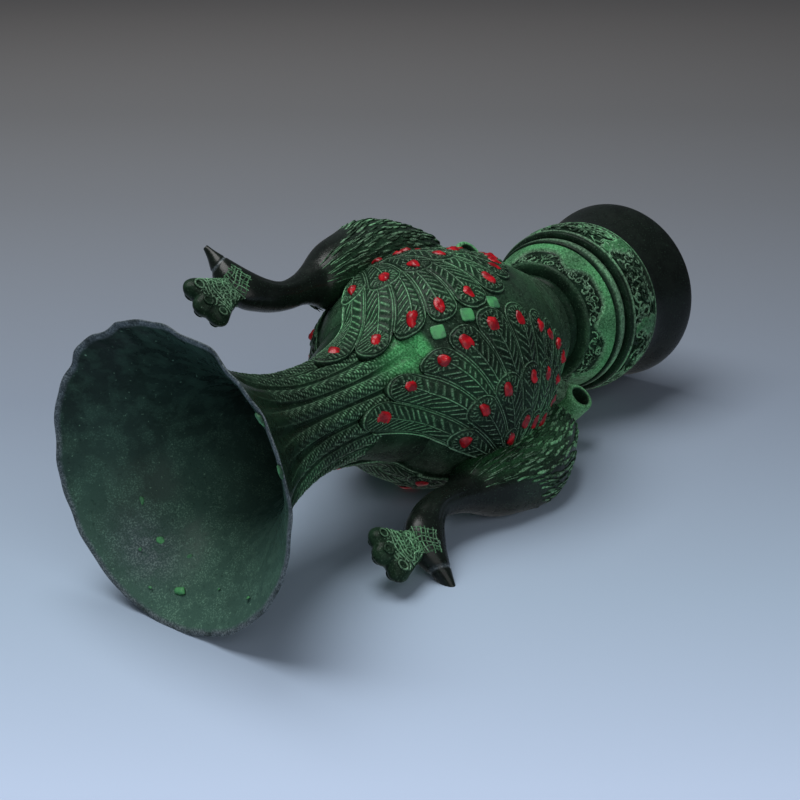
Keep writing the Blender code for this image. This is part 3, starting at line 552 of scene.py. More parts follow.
def make_neck():
    """The neck with its barbed ribs, bare beside the birds, and the mouth with its worn, uneven lip."""
    rise = np.concatenate([np.linspace(0.3, 56, int(124 * FINE)), np.linspace(57.2, 73.1, 14)])
    skirt = np.array([-1.9, -1.1, -0.5, -0.1])
    sunk = 0.5
    neck = larger(trumpet_radius(rise), sleeve_radius(rise) - sunk, 0.3)
    outer = profile_of(sleeve_radius(skirt) - sunk, BELLY_TOP + skirt, profile_of(neck, BELLY_TOP + rise))
    rise = np.concatenate([np.linspace(72.4, 20, 44), np.linspace(17.5, 0.3, 6)])
    wall = 2.3 - 1.1 * smooth(rise, 52, 72)
    inner = profile_of(trumpet_radius(np.maximum(rise, NARROWEST_RISE)) - wall, BELLY_TOP + rise)
    angles = np.linspace(0, np.pi, 9)[1:-1, None]
    lip = outer[-1] + (inner[0] - outer[-1]) * (1 - np.cos(angles)) / 2 + np.sin(angles) * (0.25, 0.5)
    profile = np.vstack([outer, lip, inner])
    row = np.arange(len(profile))[:, None]
    outside = row < len(outer)
    inside = row >= len(outer) + len(lip) - 3

    def shape(turn, radius, level):
        rise = level - BELLY_TOP
        swing = NECK_RIBS * turn / FULL_TURN
        across = (swing - np.round(swing)) * FULL_TURN * radius / NECK_RIBS
        crest = 0.5 + 0.5 * np.cos(FULL_TURN * swing)
        from_bird = np.degrees(np.arccos(np.clip(np.abs(np.cos(turn)), 0, 1)))
        reach = BARE_DEGREES * np.sqrt(np.clip(1 - (np.maximum(rise, 0) / BARE_RISE) ** 2, 0.0001, 1))
        bare = (1 - smooth(from_bird / reach, 0.80, 1.0)) * outside * (rise < BARE_RISE)
        swell = bare * (1 - np.minimum(from_bird / reach, 1) ** 2) * window(rise, -2.2, 3.0, 4, BARE_RISE)
        fade = window(rise, -1.0, 3.0, 54, 71) * (1 - bare) * outside
        barbs = wave((rise - 0.4 * np.abs(across)) / 1.05, 2.4) * smooth(crest, 0.10, 0.35) * (1 - bare)
        barbs = barbs * window(rise, -1.0, 2.0, 46, 56) * outside
        spine = ridge(np.abs(across) - 1.75, 0.22) * fade
        depth = (0.9 + 0.4 * smooth(rise, 18, 40)) * fade * (1 - crest**0.7)
        near_lip = smooth(rise, 66.5, 73.6)
        rough_lip = 0.16 + 0.55 * (0.5 + 0.5 * np.cos(turn + 0.5)) ** 2
        uneven = 0.45 * np.cos(11 * turn + 0.7) + 0.35 * np.cos(17 * turn + 2.1) + 0.2 * np.cos(29 * turn)
        radius = radius - depth + 0.20 * barbs + 0.10 * spine + 1.2 * swell
        radius = radius + near_lip * (rough_lip * uneven + 0.6)
        level = level + near_lip * rough_lip * (0.6 * np.cos(13 * turn + 1.0) + 0.4 * np.cos(23 * turn))
        raised = np.clip(np.maximum(0.8 * barbs**1.5, 0.4 * spine), 0, 1)
        bloom = (1 - smooth(np.abs(np.cos(turn)), 0.10, 0.50)) * (1 - smooth(rise, 0, 13)) * outside
        worn = smooth(rise, 72.6, 73.2) * np.where(outside, 0.4, 0.9)
        # Painted sheen: a soft grey patch in the mouth that stands in for a reflection of the light. It goes
        # into the worn field with the wear of the lip.
        wear_and_painted_sheen = np.exp(-(((turn - 1.74) / 0.30) ** 2) - ((rise - 66.0) / 4.5) ** 2)
        fields = {
            "raised": raised * (1 - 0.25 * smooth(rise, 16, 44)),
            "bloom": bloom * (0.55 + 0.45 * barbs),
            "worn": np.maximum(worn, 0.7 * wear_and_painted_sheen * inside),
            "inside": inside,
            # Painted light: marks the lower inside of the mouth, which the light from above falls on, as
            # pale.
            "pale": inside * (0.5 + 0.5 * np.cos(turn - 2.7)),
        }
        return radius, level, fields

    turned("neck_body", "neck_trumpet", profile, 486, shape)


# Geometry trees: small shapes set on places


def geometry_tree(name, **inputs):
    """An empty geometry tree with inputs, which are numbers, and their usual values."""
    tree = bpy.data.node_groups.new(name, "GeometryNodeTree")

    def socket(label, kind, way="INPUT"):
        return tree.interface.new_socket(label, in_out=way, socket_type="NodeSocket" + kind)

    socket("Geometry", "Geometry")
    for label, value in inputs.items():
        kind = "Int" if isinstance(value, int) else "Float"
        socket(label.replace("_", " "), kind).default_value = value
    socket("Geometry", "Geometry", "OUTPUT")
    n = Nodes(tree)
    return n, n.add("NodeGroupInput").outputs, n.add("NodeGroupOutput").inputs


def own_field(n, name, kind):
    return n.add("GeometryNodeInputNamedAttribute", {"data_type": kind}, Name=name).outputs["Attribute"]


def keep_field(n, shape, name, value):
    node = n.add("GeometryNodeStoreNamedAttribute", {"data_type": "FLOAT", "domain": "POINT"})
    return n.fill(node, Geometry=shape, Name=name, Value=value).outputs[0]


def position(n):
    return n.add("ShaderNodeSeparateXYZ", Vector=n.add("GeometryNodeInputPosition").outputs[0]).outputs


def rope_along(n, line, thickness):
    """A round rope along lines, closed at its ends."""
    section = n.add("GeometryNodeCurvePrimitiveCircle", Resolution=8, Radius=thickness).outputs[0]
    return n.add("GeometryNodeCurveToMesh", Curve=line, Profile_Curve=section, Fill_Caps=True).outputs[0]


def set_on_places(n, start, end, shape):
    """Sets the shape on every place, turned and sized by the place's own fields, and roughens it if asked."""
    turn = n.add("FunctionNodeEulerToRotation", Euler=own_field(n, "turn", "FLOAT_VECTOR")).outputs[0]
    copies = n.add("GeometryNodeInstanceOnPoints", Points=start["Geometry"], Instance=shape, Rotation=turn)
    n.fill(copies, Scale=own_field(n, "size", "FLOAT_VECTOR"))
    real = n.add("GeometryNodeRealizeInstances", Geometry=copies.outputs[0]).outputs[0]
    if "Rough" in start:
        middle = n.add("ShaderNodeVectorMath", {"operation": "SUBTRACT"})
        n.put(middle.inputs[0], n.add("ShaderNodeTexNoise", Scale=420.0, Detail=2.0).outputs["Color"])
        n.put(middle.inputs[1], (0.5, 0.5, 0.5))
        shift = n.add("ShaderNodeVectorMath", {"operation": "SCALE"}, Scale=n.times(start["Rough"], 4.0 * MM))
        n.put(shift.inputs[0], middle.outputs[0])
        real = n.add("GeometryNodeSetPosition", Geometry=real, Offset=shift.outputs[0]).outputs[0]
    n.put(end[0], real)


def boss_tree():
    """A ball drawn to a length, width and height, narrowed to a point or squared off as asked."""
    sizes = {"Length": 0.003, "Width": 0.002, "Height": 0.001}
    n, start, end = geometry_tree("bosses", **sizes, Taper=0.0, Roundness=1.0, Segments=16, Rough=0.0)
    rings = n.times(start["Segments"], 0.6)
    ball = n.add("GeometryNodeMeshUVSphere", Segments=start["Segments"], Rings=rings, Radius=1.0).outputs[0]
    spot = position(n)

    def squared(value):
        size = n.math("POWER", n.math("ABSOLUTE", value), start["Roundness"])
        return n.times(size, n.math("SIGN", value))

    x, y, z = [squared(spot[axis]) for axis in "XYZ"]
    narrow = n.math("SUBTRACT", 1.0, n.times(n.plus(n.times(x, 0.5), 0.5), start["Taper"]))
    place = n.add(
        "ShaderNodeCombineXYZ",
        X=n.times(x, n.times(start["Length"], 0.5)),
        Y=n.times(n.times(y, narrow), n.times(start["Width"], 0.5)),
        Z=n.times(z, start["Height"]),
    )
    shape = keep_field(n, ball, "raised", n.step(spot["Z"], 0.25, 0.9))
    shape = keep_field(n, shape, "low", n.step(spot["Z"], 0.55, 0.1))
    shape = n.add("GeometryNodeSetPosition", Geometry=shape, Position=place.outputs[0]).outputs[0]
    set_on_places(n, start, end, shape)
    return n.tree


def curl_tree():
    """A flat spiral rope; with one turn and equal radii it is a ring."""
    n, start, end = geometry_tree("curls", Start_Radius=0.004, End_Radius=0.0008, Turns=1.6, Thickness=0.0005)
    line = n.add("GeometryNodeCurveSpiral", Resolution=26, Height=0.0, Rotations=start["Turns"])
    n.fill(line, Start_Radius=start["Start Radius"], End_Radius=start["End Radius"])
    rope = rope_along(n, line.outputs[0], start["Thickness"])
    share = n.math("DIVIDE", position(n)["Z"], start["Thickness"])
    set_on_places(n, start, end, keep_field(n, rope, "raised", n.step(share, 0.1, 0.9)))
    return n.tree


def rope_tree():
    """A rope along every line of the given edges, as thick at each point as its own field says."""
    n, start, end = geometry_tree("ropes", Thickness=0.0005)
    lines = n.add("GeometryNodeMeshToCurve", Mesh=start["Geometry"]).outputs[0]
    lines = n.add("GeometryNodeSetCurveRadius", Curve=lines, Radius=own_field(n, "thick", "FLOAT")).outputs[0]
    n.put(end[0], rope_along(n, lines, start["Thickness"]))
    return n.tree


# Each tree with the names of the lengths it takes
ROPES = (rope_tree(), ("Thickness",))
BOSSES = (boss_tree(), ("Length", "Width", "Height"))
CURLS = (curl_tree(), ("Start Radius", "End Radius", "Thickness"))


def run_tree(mesh, kind, lengths, **inputs):
    """Runs a tree on a mesh, with lengths given in mm, and gives back a plain mesh."""
    tree, labels = kind
    inputs.update(zip(labels, (length * MM for length in lengths)))
    holder = add_object(mesh.name, mesh)
    modifier = holder.modifiers.new("grow", "NODES")
    modifier.node_group = tree
    for socket in tree.interface.items_tree:
        if socket.in_out == "INPUT" and socket.name in inputs:
            modifier[socket.identifier] = inputs[socket.name]
    graph = bpy.context.evaluated_depsgraph_get()
    made = bpy.data.meshes.new_from_object(holder.evaluated_get(graph))
    holder.modifiers.clear()
    bpy.data.objects.remove(holder)
    return made


def grow(name, places, kind, lengths, replaced=(), slot="green_bronze", dull=0.0, **inputs):
    """A piece made by running a tree on places of (point in mm, outward, along, size).

    dull is how much the pale lines of a copy may be darkened, by chance.
    """
    spots, outs, alongs, sizes = zip(*places)
    mesh = bpy.data.meshes.new(name + " places")
    mesh.from_pydata([tuple(Vector(spot) * MM) for spot in spots], [], [])
    turns = [tuple(axes(Vector(out), Vector(along)).to_euler()) for out, along in zip(outs, alongs)]
    store(mesh, "turn", turns, "FLOAT_VECTOR", "vector")
    store(mesh, "size", sizes, "FLOAT_VECTOR", "vector")
    if dull:
        store(mesh, "dull", np.random.default_rng(len(places)).uniform(0, dull, len(places)))
    piece(name, run_tree(mesh, kind, lengths, **inputs), replaced, slot)


def ropes(name, lines, thickness):
    """Ropes along lines of points in mm, each with its own thickness at every point and its own shade."""
    points, edges, thick, raised = [], [], [], []
    for line, sizes, shade in lines:
        first = len(points)
        points += [tuple(point * MM) for point in line]
        edges += [(first + i, first + i + 1) for i in range(len(line) - 1)]
        thick += list(sizes)
        raised += [shade] * len(line)
    mesh = bpy.data.meshes.new(name + " lines")
    mesh.from_pydata(points, edges, [])
    store(mesh, "thick", thick)
    store(mesh, "raised", raised)
    piece(name, run_tree(mesh, ROPES, [thickness]))


def axes(out, along):
    """A turn whose Z is out and whose X runs along."""
    out = out.normalized()
    aside = out.cross(along).normalized()
    return Matrix((aside.cross(out), aside, out)).transposed()


def place_on(point, rest, first, second, steps, heart, size, lean=0.0):
    """A place on the surface of point(first, second, *rest): length along first, outward from the heart."""
    corners = ((first, second), (first + steps[0], second), (first, second + steps[1]))
    spot, further, beside = [point(*corner, *rest) for corner in corners]
    run = Vector(further - spot).normalized()
    out = run.cross(Vector(beside - spot)).normalized()
    if out.dot(Vector(spot) - Vector(heart)) < 0:
        out = -out
    return spot, out - run * lean, run + out * lean, size


# Green spots in the mouth and on its lip: turn, rise, size. The lip starts at LIP_RISE.
MOUTH_SPOTS = ((4.52, 72.8, 1.5), (4.2, 73.0, 1.9), (5.17, 72.7, 0.9), (1.75, 63.2, 1.5), (2.1, 62.0, 0.9))
MOUTH_SPOTS += ((2.23, 68.2, 2.2), (1.99, 70.5, 0.8), (1.71, 67.0, 0.6), (1.34, 61.8, 0.8), (1.55, 54.0, 0.9))
MOUTH_SPOTS += ((0.82, 52.5, 0.7), (0.8, 58.5, 0.7), (0.95, 55.0, 0.5), (3.02, 69.8, 0.7), (2.6, 66.0, 0.5))
LIP_RISE = 72


def make_spots():
    """A few spots of green left on the lip and in the mouth."""
    chance = np.random.default_rng(17)
    places = []
    for turn, rise, size in MOUTH_SPOTS:
        inward, lift = (0.1, 0.4) if rise > LIP_RISE else (1.75, 0)
        radius = float(trumpet_radius(rise)) - inward
        x, y = math.cos(turn), math.sin(turn)
        spot = (radius * x, radius * y, BELLY_TOP + rise + lift)
        places.append((spot, (-x, -y, 1.0), (-y, x, 0), size * chance.uniform(0.7, 1.2, 3)))
    grow("mouth_spots", places, BOSSES, (1.9, 1.2, 0.3), slot="green_enamel", Rough=0.5, Segments=18)


# Inlays

SQUARE_LEVELS = (120.4, 112.0, 102.3)
SQUARE_TURN = 0.4


def make_inlays():
    """A red eye on every feather, and green squares where two tails meet."""
    chance = np.random.default_rng(7)
    for face_name, face in FACES.items():
        for side_name, side in SIDES.items():
            places = []
            for eyes, lift in ((OUTER_EYES, 0.55), (MIDDLE_EYES, 0.85), (INNER_EYES, 1.3)):
                rest = (lift, side, face)
                for turn, reach in eyes:
                    size = chance.uniform(0.84, 1.14, 3)
                    places.append(place_on(fan_point, rest, reach, turn, (0.2, 0.4), FAN_HEART, size))
            name = f"{face_name}_{side_name}"
            replaced = [f"feather_eye_{name}_{i}" for i in range(1, 9)]
            shape = {"Taper": 0.25, "Rough": 0.45}
            grow(f"feather_eyes_{name}", places, BOSSES, (4.6, 3.5, 0.9), replaced, "red_enamel", **shape)
        places = []
        along = (math.cos(SQUARE_TURN), 0, math.sin(SQUARE_TURN) * face)
        for level in SQUARE_LEVELS:
            radius = float(belly_radius(level))
            slope = (float(belly_radius(level + 0.1)) - radius) / 0.1
            places.append(((0, face * radius, level), (0, face, -slope), along, (1, 1, 1)))
        replaced = [f"tail_square_{face_name}_{i}" for i in range(1, 4)]
        shape = {"Roundness": 0.35, "Rough": 0.15}
        grow(f"tail_squares_{face_name}", places, BOSSES, (3.7, 3.7, 0.75), replaced, "green_enamel", **shape)


# Birds. Each row is a section: outer edge (x, z) and inner edge (x, z) from the belly's widest line, then
# half the width. A place along a bird is counted in these rows.

BIRD_SECTIONS = np.array(
    [
        (2.9, -30.8, -6.6, -29.6, 4.6),
        (6.6, -28.4, -6.6, -25.5, 7.6),
        (10.4, -24.7, -6.6, -21.5, 9.6),
        (14.6, -18.2, -6.6, -15.5, 11.2),
        (17.6, -9.8, -5.6, -8.5, 12.0),
        (18.2, -2.6, -4.8, -0.5, 11.8),
        (16.8, 3.8, -4.6, 7.5, 10.8),
        (14.7, 9.6, -4.1, 14.2, 9.2),
        (11.9, 15.0, -3.1, 18.6, 7.2),
        (9.6, 19.8, -1.6, 21.2, 5.6),
        (7.8, 24.8, -0.6, 25.2, 4.6),
        (6.9, 30.0, -0.6, 31.0, 4.2),
        (7.3, 33.4, 0.0, 36.4, 4.2),
        (9.3, 36.4, 1.4, 41.2, 4.2),
        (12.2, 39.0, 4.4, 46.6, 4.3),
        (15.4, 41.2, 11.0, 49.2, 3.7),
        (18.6, 42.9, 16.8, 47.8, 2.5),
        (21.6, 44.3, 20.9, 46.7, 1.5),
        (24.3, 45.0, 23.9, 46.4, 0.7),
    ]
)
BIRD_END = len(BIRD_SECTIONS) - 1
BEAK_LINE = 15.9
# How far the beak tips are moved in x and z to meet the photo, by side
TIP_SHIFTS = {-1: (1.3, 0.8), 1: (-1.2, -0.4)}
# How much green haze lies on the breasts, by side
HAZE = {-1: 0.20, 1: 0.08}


def from_widest(side, x, y, z):
    """Points on one side, given from the belly's widest line."""
    return np.stack([side * (BELLY_RADIUS + x), y, WIDEST + z], -1)


def bird_section(along):
    """A section between the listed ones, by a smooth curve through them."""
    i = np.clip(np.floor(along).astype(int), 0, BIRD_END - 1)
    t = (along - i)[..., None]
    before, here = BIRD_SECTIONS[np.maximum(i - 1, 0)], BIRD_SECTIONS[i]
    after, later = BIRD_SECTIONS[i + 1], BIRD_SECTIONS[np.minimum(i + 2, BIRD_END)]
    bend = 2 * before - 5 * here + 4 * after - later
    turn = 3 * (here - after) + later - before
    return here + 0.5 * t * (after - before + t * (bend + t * turn))


def bird_point(along, turn, side):
    """A point of the bird's skin; turn 0 faces outward."""
    section = bird_section(along)
    middle = (section[..., 0:2] + section[..., 2:4]) / 2
    reach = (section[..., 0:2] - section[..., 2:4]) / 2
    slim = window(along, 0.6, 2.5, 5.5, 8.0)
    groove = 1 - 0.07 * ridge(along - BEAK_LINE, 0.16)
    keel = 0.35 * ridge(np.abs(turn) - np.pi / 2, 0.30) * window(along, 8.6, 10.5, 13.0, 14.0)
    cos, sin = np.cos(turn), np.sin(turn)
    tip_x, tip_z = TIP_SHIFTS[side]
    tip = smooth(along, 15.0, 18.0)
    x = BELLY_RADIUS + middle[..., 0] - 0.8 * slim + (reach[..., 0] - 0.8 * slim) * cos * groove + tip * tip_x
    y = (section[..., 4] - slim) * sin * groove + keel * np.sign(sin)
    z = WIDEST + middle[..., 1] + reach[..., 1] * cos * groove + tip * tip_z
    radius = np.hypot(x, y)
    seat = np.where((z > 53) & (z < 125.5), belly_radius(z) - 0.9, 0.0)
    scale = np.maximum(radius, seat) / np.maximum(radius, 0.001)
    return np.stack([side * x * scale, y * scale, z], -1)


def make_bird(name, side):
    """The smooth skin of a bird, the scales of its breast, and the marks on its head."""
    rings, columns = int(216 * FINE), 64
    turns = np.linspace(-np.pi, np.pi, columns, endpoint=False)
    along, turn = np.meshgrid(np.linspace(0, BIRD_END, rings), turns, indexing="ij")
    fields = {
        "raised": 0.18 * (1 - smooth(along, 5.5, 8.5)),
        "worn": 0.9 * ridge(along - BEAK_LINE, 0.10),
        "bloom": HAZE[side] * smooth(np.abs(turn), 1.0, 1.9) * window(along, 1.0, 3.5, 6.5, 9.5),
    }
    points = bird_point(along, turn, side)
    replaced = [f"bird_handle_{name}"]
    solid(f"bird_{name}", points, tube_faces(rings, columns), replaced, "dark_bronze", **fields)
    breast_scales(name, side)
    head_marks(name, side)


def skin_place(along, turn, side, size, lean=0.0):
    """A place on the bird's skin whose length runs away from the head."""
    section = bird_section(along)
    heart = from_widest(side, (section[0] + section[2]) / 2, 0, (section[1] + section[3]) / 2)
    return place_on(bird_point, (side,), along, turn, (-0.02, 0.02), heart, size, lean)


def breast_scales(name, side):
    """Pointed scales in staggered rows, finer towards the neck."""
    chance = np.random.default_rng(11)
    places = []
    along, end = 0.35, 8.8
    row, row_step = 0, 2.05
    while along < end:
        section = bird_section(along)
        depth = math.hypot(section[0] - section[2], section[1] - section[3]) / 2
        girth = math.pi * (depth + section[4])
        count = max(8, int(girth / (2.3 - 0.06 * along)))
        inner = np.radians(150 if along < 6 else 135)
        outer = np.radians(70) * smooth(along, 4.2, 7.0)
        long = smooth(along, 4.5, 8.0)
        stretch = (1 + 0.9 * long, 1 - 0.70 * long, 1 - 0.4 * long)
        for turn in -np.pi + FULL_TURN * (np.arange(count) + 0.5 * (row % 2)) / count:
            if not outer <= abs(turn) + chance.normal(0, 0.12) <= inner:
                continue
            size = chance.uniform((0.85, 0.7, 0.6), (1.25, 1.1, 1.1)) * stretch
            spot = along + chance.normal(0, 0.05)
            places.append(skin_place(spot, turn + chance.normal(0, 0.05), side, size, 0.12))
        further = bird_section(along + 0.2) - section
        step = math.hypot((further[0] + further[2]) / 2, (further[1] + further[3]) / 2) / 0.2
        along += row_step / max(step, 2.0)
        row += 1
    shape = {"Taper": 0.9, "Segments": 10, "Rough": 0.18}
    grow(f"breast_scales_{name}", places, BOSSES, (3.9, 1.9, 0.42), dull=0.9, **shape)


def net(count, rows, row_run, columns, column_run):
    """Two crossing sets of lines, each line as count values of a first and of a second coordinate."""
    rows = [(np.full(count, first), np.linspace(*row_run, count)) for first in np.arange(*rows)]
    columns = [(np.linspace(*column_run, count), np.full(count, second)) for second in np.arange(*columns)]
    return rows + columns


def uneven_thickness(count, chance):
    return 0.75 + 0.35 * np.sin(np.linspace(0, 5, count) + chance.uniform(0, 6))


def head_marks(name, side):
    """A net of lines on the cheeks, below the crest, and a small eye on each."""
    chance = np.random.default_rng(21)
    count = 24
    strokes = []
    for hand in (-1, 1):
        for along, turn in net(count, (14.15, 15.2, 0.19), (1.5, 2.9), (1.5, 2.9, 0.2), (14.1, 15.2)):
            along = along + 0.05 * np.sin(5 * turn + chance.uniform(0, 6))
            turn = turn + 0.05 * np.sin(6 * along + chance.uniform(0, 6))
            thick = uneven_thickness(count, chance)
            strokes.append((bird_point(along, hand * turn, side), thick, chance.uniform(0.3, 0.7)))
    ropes(f"head_net_{name}", strokes, 0.17)
    eyes = [skin_place(14.7, hand * 1.45, side, (1, 1, 1)) for hand in (-1, 1)]
    grow(f"bird_eyes_{name}", eyes, BOSSES, (1.4, 0.9, 0.35), slot="dark_bronze")


# Crests, standing on the heads. Lobes are (x, z, radius, first and last degree), and places are given from
# the belly's widest line.

CREST_LOBES = ((12.2, 57.6, 3.2, -30, 75), (7.2, 58.4, 3.0, 20, 160), (3.2, 56.4, 2.7, 105, 215))
CREST_MIDDLE = (8.3, 53.0)
CREST_HALF = 2.4
CREST_FOOT = 46.6
CREST_NET_MIDDLE = (8.8, 45.4)
CREST_TURNS = np.linspace(-np.pi, np.pi, 144, endpoint=False)


def crest_reach():
    """How far the crest's edge is from its middle, for each of the crest's turns."""
    corners = [(12.6, CREST_FOOT), (13.6, 51.4)]
    for x, z, radius, first, last in CREST_LOBES:
        for turn in np.radians(np.linspace(first, last, 12)):
            corners.append((x + radius * math.cos(turn), z + radius * math.sin(turn)))
    corners = np.array(corners + [(3.3, 51.6), (5.6, CREST_FOOT), corners[0]])
    share = np.linspace(0, 1, 40, endpoint=False)[:, None]
    line = np.concatenate([a + (b - a) * share for a, b in zip(corners, corners[1:])]) - CREST_MIDDLE
    turn = np.arctan2(line[:, 1], line[:, 0])
    order = np.argsort(turn)
    return np.interp(CREST_TURNS, turn[order], np.hypot(*line[order].T), period=FULL_TURN)


CREST_REACH = crest_reach()


def crest_height(x, z):
    """How far the crest's face is from its middle plane, and how near its edge a place is, from 0 to 1."""
    right, up = x - CREST_MIDDLE[0], z - CREST_MIDDLE[1]
    share = np.hypot(right, up) / np.interp(np.arctan2(up, right), CREST_TURNS, CREST_REACH, period=FULL_TURN)
    height = CREST_HALF * np.clip(1 - share**5, 0, 1) ** 0.6
    for lobe_x, lobe_z, radius, _, _ in CREST_LOBES:
        height = height + 0.35 * np.exp(-((x - lobe_x) ** 2 + (z - lobe_z) ** 2) / radius**2) * (1 - share**4)
    return height, share


def make_crest(name, side):
    """A thick three-lobed plate with a net of lines on both faces and a ring on each lobe."""
    shares = np.sin(np.linspace(0.02, 1, 22) * np.pi / 2)
    rows = []
    for share, hand in [(s, 1) for s in shares] + [(s, -1) for s in shares[-2::-1]]:
        x = CREST_MIDDLE[0] + share * CREST_REACH * np.cos(CREST_TURNS)
        z = CREST_MIDDLE[1] + share * CREST_REACH * np.sin(CREST_TURNS)
        height, _ = crest_height(x, z)
        rows.append(from_widest(side, x, hand * height * (share < 1), z))
    points = np.array(rows)
    grid = points.shape[:2]
    solid(f"crest_body_{name}", points, tube_faces(*grid), [f"crest_{name}"], raised=np.full(grid, 0.12))
    chance = np.random.default_rng(5)
    strokes, rings = [], []
    for hand in (1, -1):
        for reach, turn in net(60, (2.2, 13.0, 1.05), (0.35, 2.8), (0.40, 2.80, 0.155), (1.6, 13.0)):
            turn = turn + 0.05 * np.sin(1.9 * reach + chance.uniform(0, 6))
            reach = reach + 0.22 * np.sin(9 * turn + chance.uniform(0, 6))
            x = CREST_NET_MIDDLE[0] + reach * np.cos(turn)
            z = CREST_NET_MIDDLE[1] + reach * np.sin(turn)
            height, share = crest_height(x, z)
            from_lobe = np.min([np.hypot(x - lobe[0], z - lobe[1]) for lobe in CREST_LOBES], 0)
            good = (share < 0.88) & (from_lobe > 1.55) & (z > CREST_FOOT + 0.2)
            line = from_widest(side, x, hand * (height - 0.02), z)
            breaks = np.flatnonzero(np.diff(np.concatenate([[0], good, [0]])))
            for first, last in zip(breaks[::2], breaks[1::2]):
                if last - first < 4:
                    continue
                thick = uneven_thickness(last - first, chance)
                strokes.append((line[first:last], thick, chance.uniform(0.35, 0.85)))
        for x, z, radius, _, _ in CREST_LOBES:
            spot = from_widest(side, x, hand * crest_height(x, z)[0], z)
            rings.append((spot, (0, hand, 0), (1, 0, 0.3), (radius / 3, radius / 3.4, 1)))
    ropes(f"crest_lines_{name}", strokes, 0.2)
    grow(f"crest_rings_{name}", rings, CURLS, (1.25, 1.2, 0.3), dull=0.8, Turns=1.0)


# Lugs under the breasts


def power(value, exponent):
    return np.sign(value) * np.abs(value) ** exponent


def make_lug(name, side):
    """A round loop with its hole along Y, on a short stem from the belly."""
    columns, loop_rings, stem_rings = 28, 56, 14
    section = round_turns(columns)[None, :]
    cos, sin = np.cos(section), np.sin(section)
    seat = float(belly_radius(60.4))
    middle = np.array([seat + 7.6, 57.2])
    turn = round_turns(loop_rings)[:, None]
    radius = 3.45 + 0.95 * power(cos, 0.5) + 0 * turn
    x, z = middle[0] + radius * np.cos(turn), middle[1] + radius * np.sin(turn)
    points = np.stack([side * x, 4.0 * power(sin, 0.4) + 0 * turn, z], -1)
    raised = 0.85 * smooth(radius, 2.7, 3.6)
    faces = quads(loop_rings, columns, True, True)
    solid(f"lug_ring_{name}", points, faces, [f"lug_{name}"], raised=raised, bloom=0.5 * raised)
    root = np.array([seat - 2.0, 61.0])
    way = middle - root
    run = way / np.hypot(*way)
    reach = np.hypot(*way) - 3.4
    share = np.linspace(0, 1, stem_rings)[:, None]
    aside = (3.9 - 0.9 * share) * power(sin, 0.7)
    x = root[0] + run[0] * reach * share - run[1] * aside
    z = root[1] + run[1] * reach * share + run[0] * aside
    points = np.stack([side * x, 3.2 * power(cos, 0.7) + 0 * share, z], -1)
    solid(f"lug_stem_{name}", points, tube_faces(stem_rings, columns), raised=np.full(x.shape, 0.6))


# Foot, drum, bead, tier and waist


def band_place(turn, level, radius_at, height, spin, size):
    """A place on a turned band, its length turned by the spin from the band's own run."""
    radius = float(radius_at(level))
    slope = (float(radius_at(level + 0.1)) - radius) / 0.1
    out = Vector((math.cos(turn), math.sin(turn), -slope)).normalized()
    run = Vector((-math.sin(turn), math.cos(turn), 0))
    up = out.cross(run)
    spot = Vector((radius * math.cos(turn), radius * math.sin(turn), level)) + out * height
    return spot, out, run * math.cos(spin) + up * math.sin(spin), size


def band_places(radius_at, bottom, top, count, low, high, height, seed):
    """Places for small shapes, close together, leaning either way along a turned band."""
    chance = np.random.default_rng(seed)
    places = []
    for i in range(count):
        turn = FULL_TURN * (i + chance.uniform(0, 1)) / count
        level = bottom + (top - bottom) * chance.uniform(low, high)
        spin = chance.choice([0.7, 2.3, 3.9, 5.5]) + chance.normal(0, 0.45)
        size = chance.uniform((0.45, 0.6, 0.7), (1.25, 1.15, 1.2))
        places.append(band_place(turn, level, radius_at, height, spin, size))
    return places


SCROLL = {"dull": 1.0, "Turns": 0.72}
LEAF = {"dull": 1.0, "Taper": 0.7, "Segments": 12, "Rough": 0.2}


def make_foot():
    """Plain flared foot ring with a rounded edge."""
    foot_radius, taper = 27.8, 3.8
    level = np.concatenate([[0.0, 0.12, 0.45, 0.9], np.linspace(1.6, FOOT_TOP - 0.02, 40)])
    radius = foot_radius - taper * (1 - np.cos(np.pi * level / FOOT_TOP)) / 2
    radius[:3] -= (0.9, 0.35, 0.08)
    inner = [(20.5, FOOT_TOP), (20.5, 8.9), (22.7, 8.9), (22.7, 6.9), (23.6, 0.5), (24.2, 0.0)]
    turned("foot_body", "foot_ring", profile_of(radius, level, inner), 240, slot="dark_bronze")


def drum_radius(level):
    return 24.6 + 1.3 * np.sin(np.pi * part_way(level, DRUM_BOTTOM, DRUM_TOP))


def drum_leaf(turn, share):
    """Six broad leaves round the drum: 1 on a leaf, and its edge line."""
    step = FULL_TURN / 6
    wander = 0.035 * np.sin(7.0 * share + 5.0 * turn) + 0.02 * np.sin(17.0 * share)
    off = np.abs((turn + 0.35 + wander + step / 2) % step - step / 2)
    half = np.radians(7.0) * (1.1 - 0.75 * share)
    return 1 - smooth(off, half - 0.02, half + 0.02), ridge(off - half, 0.035)


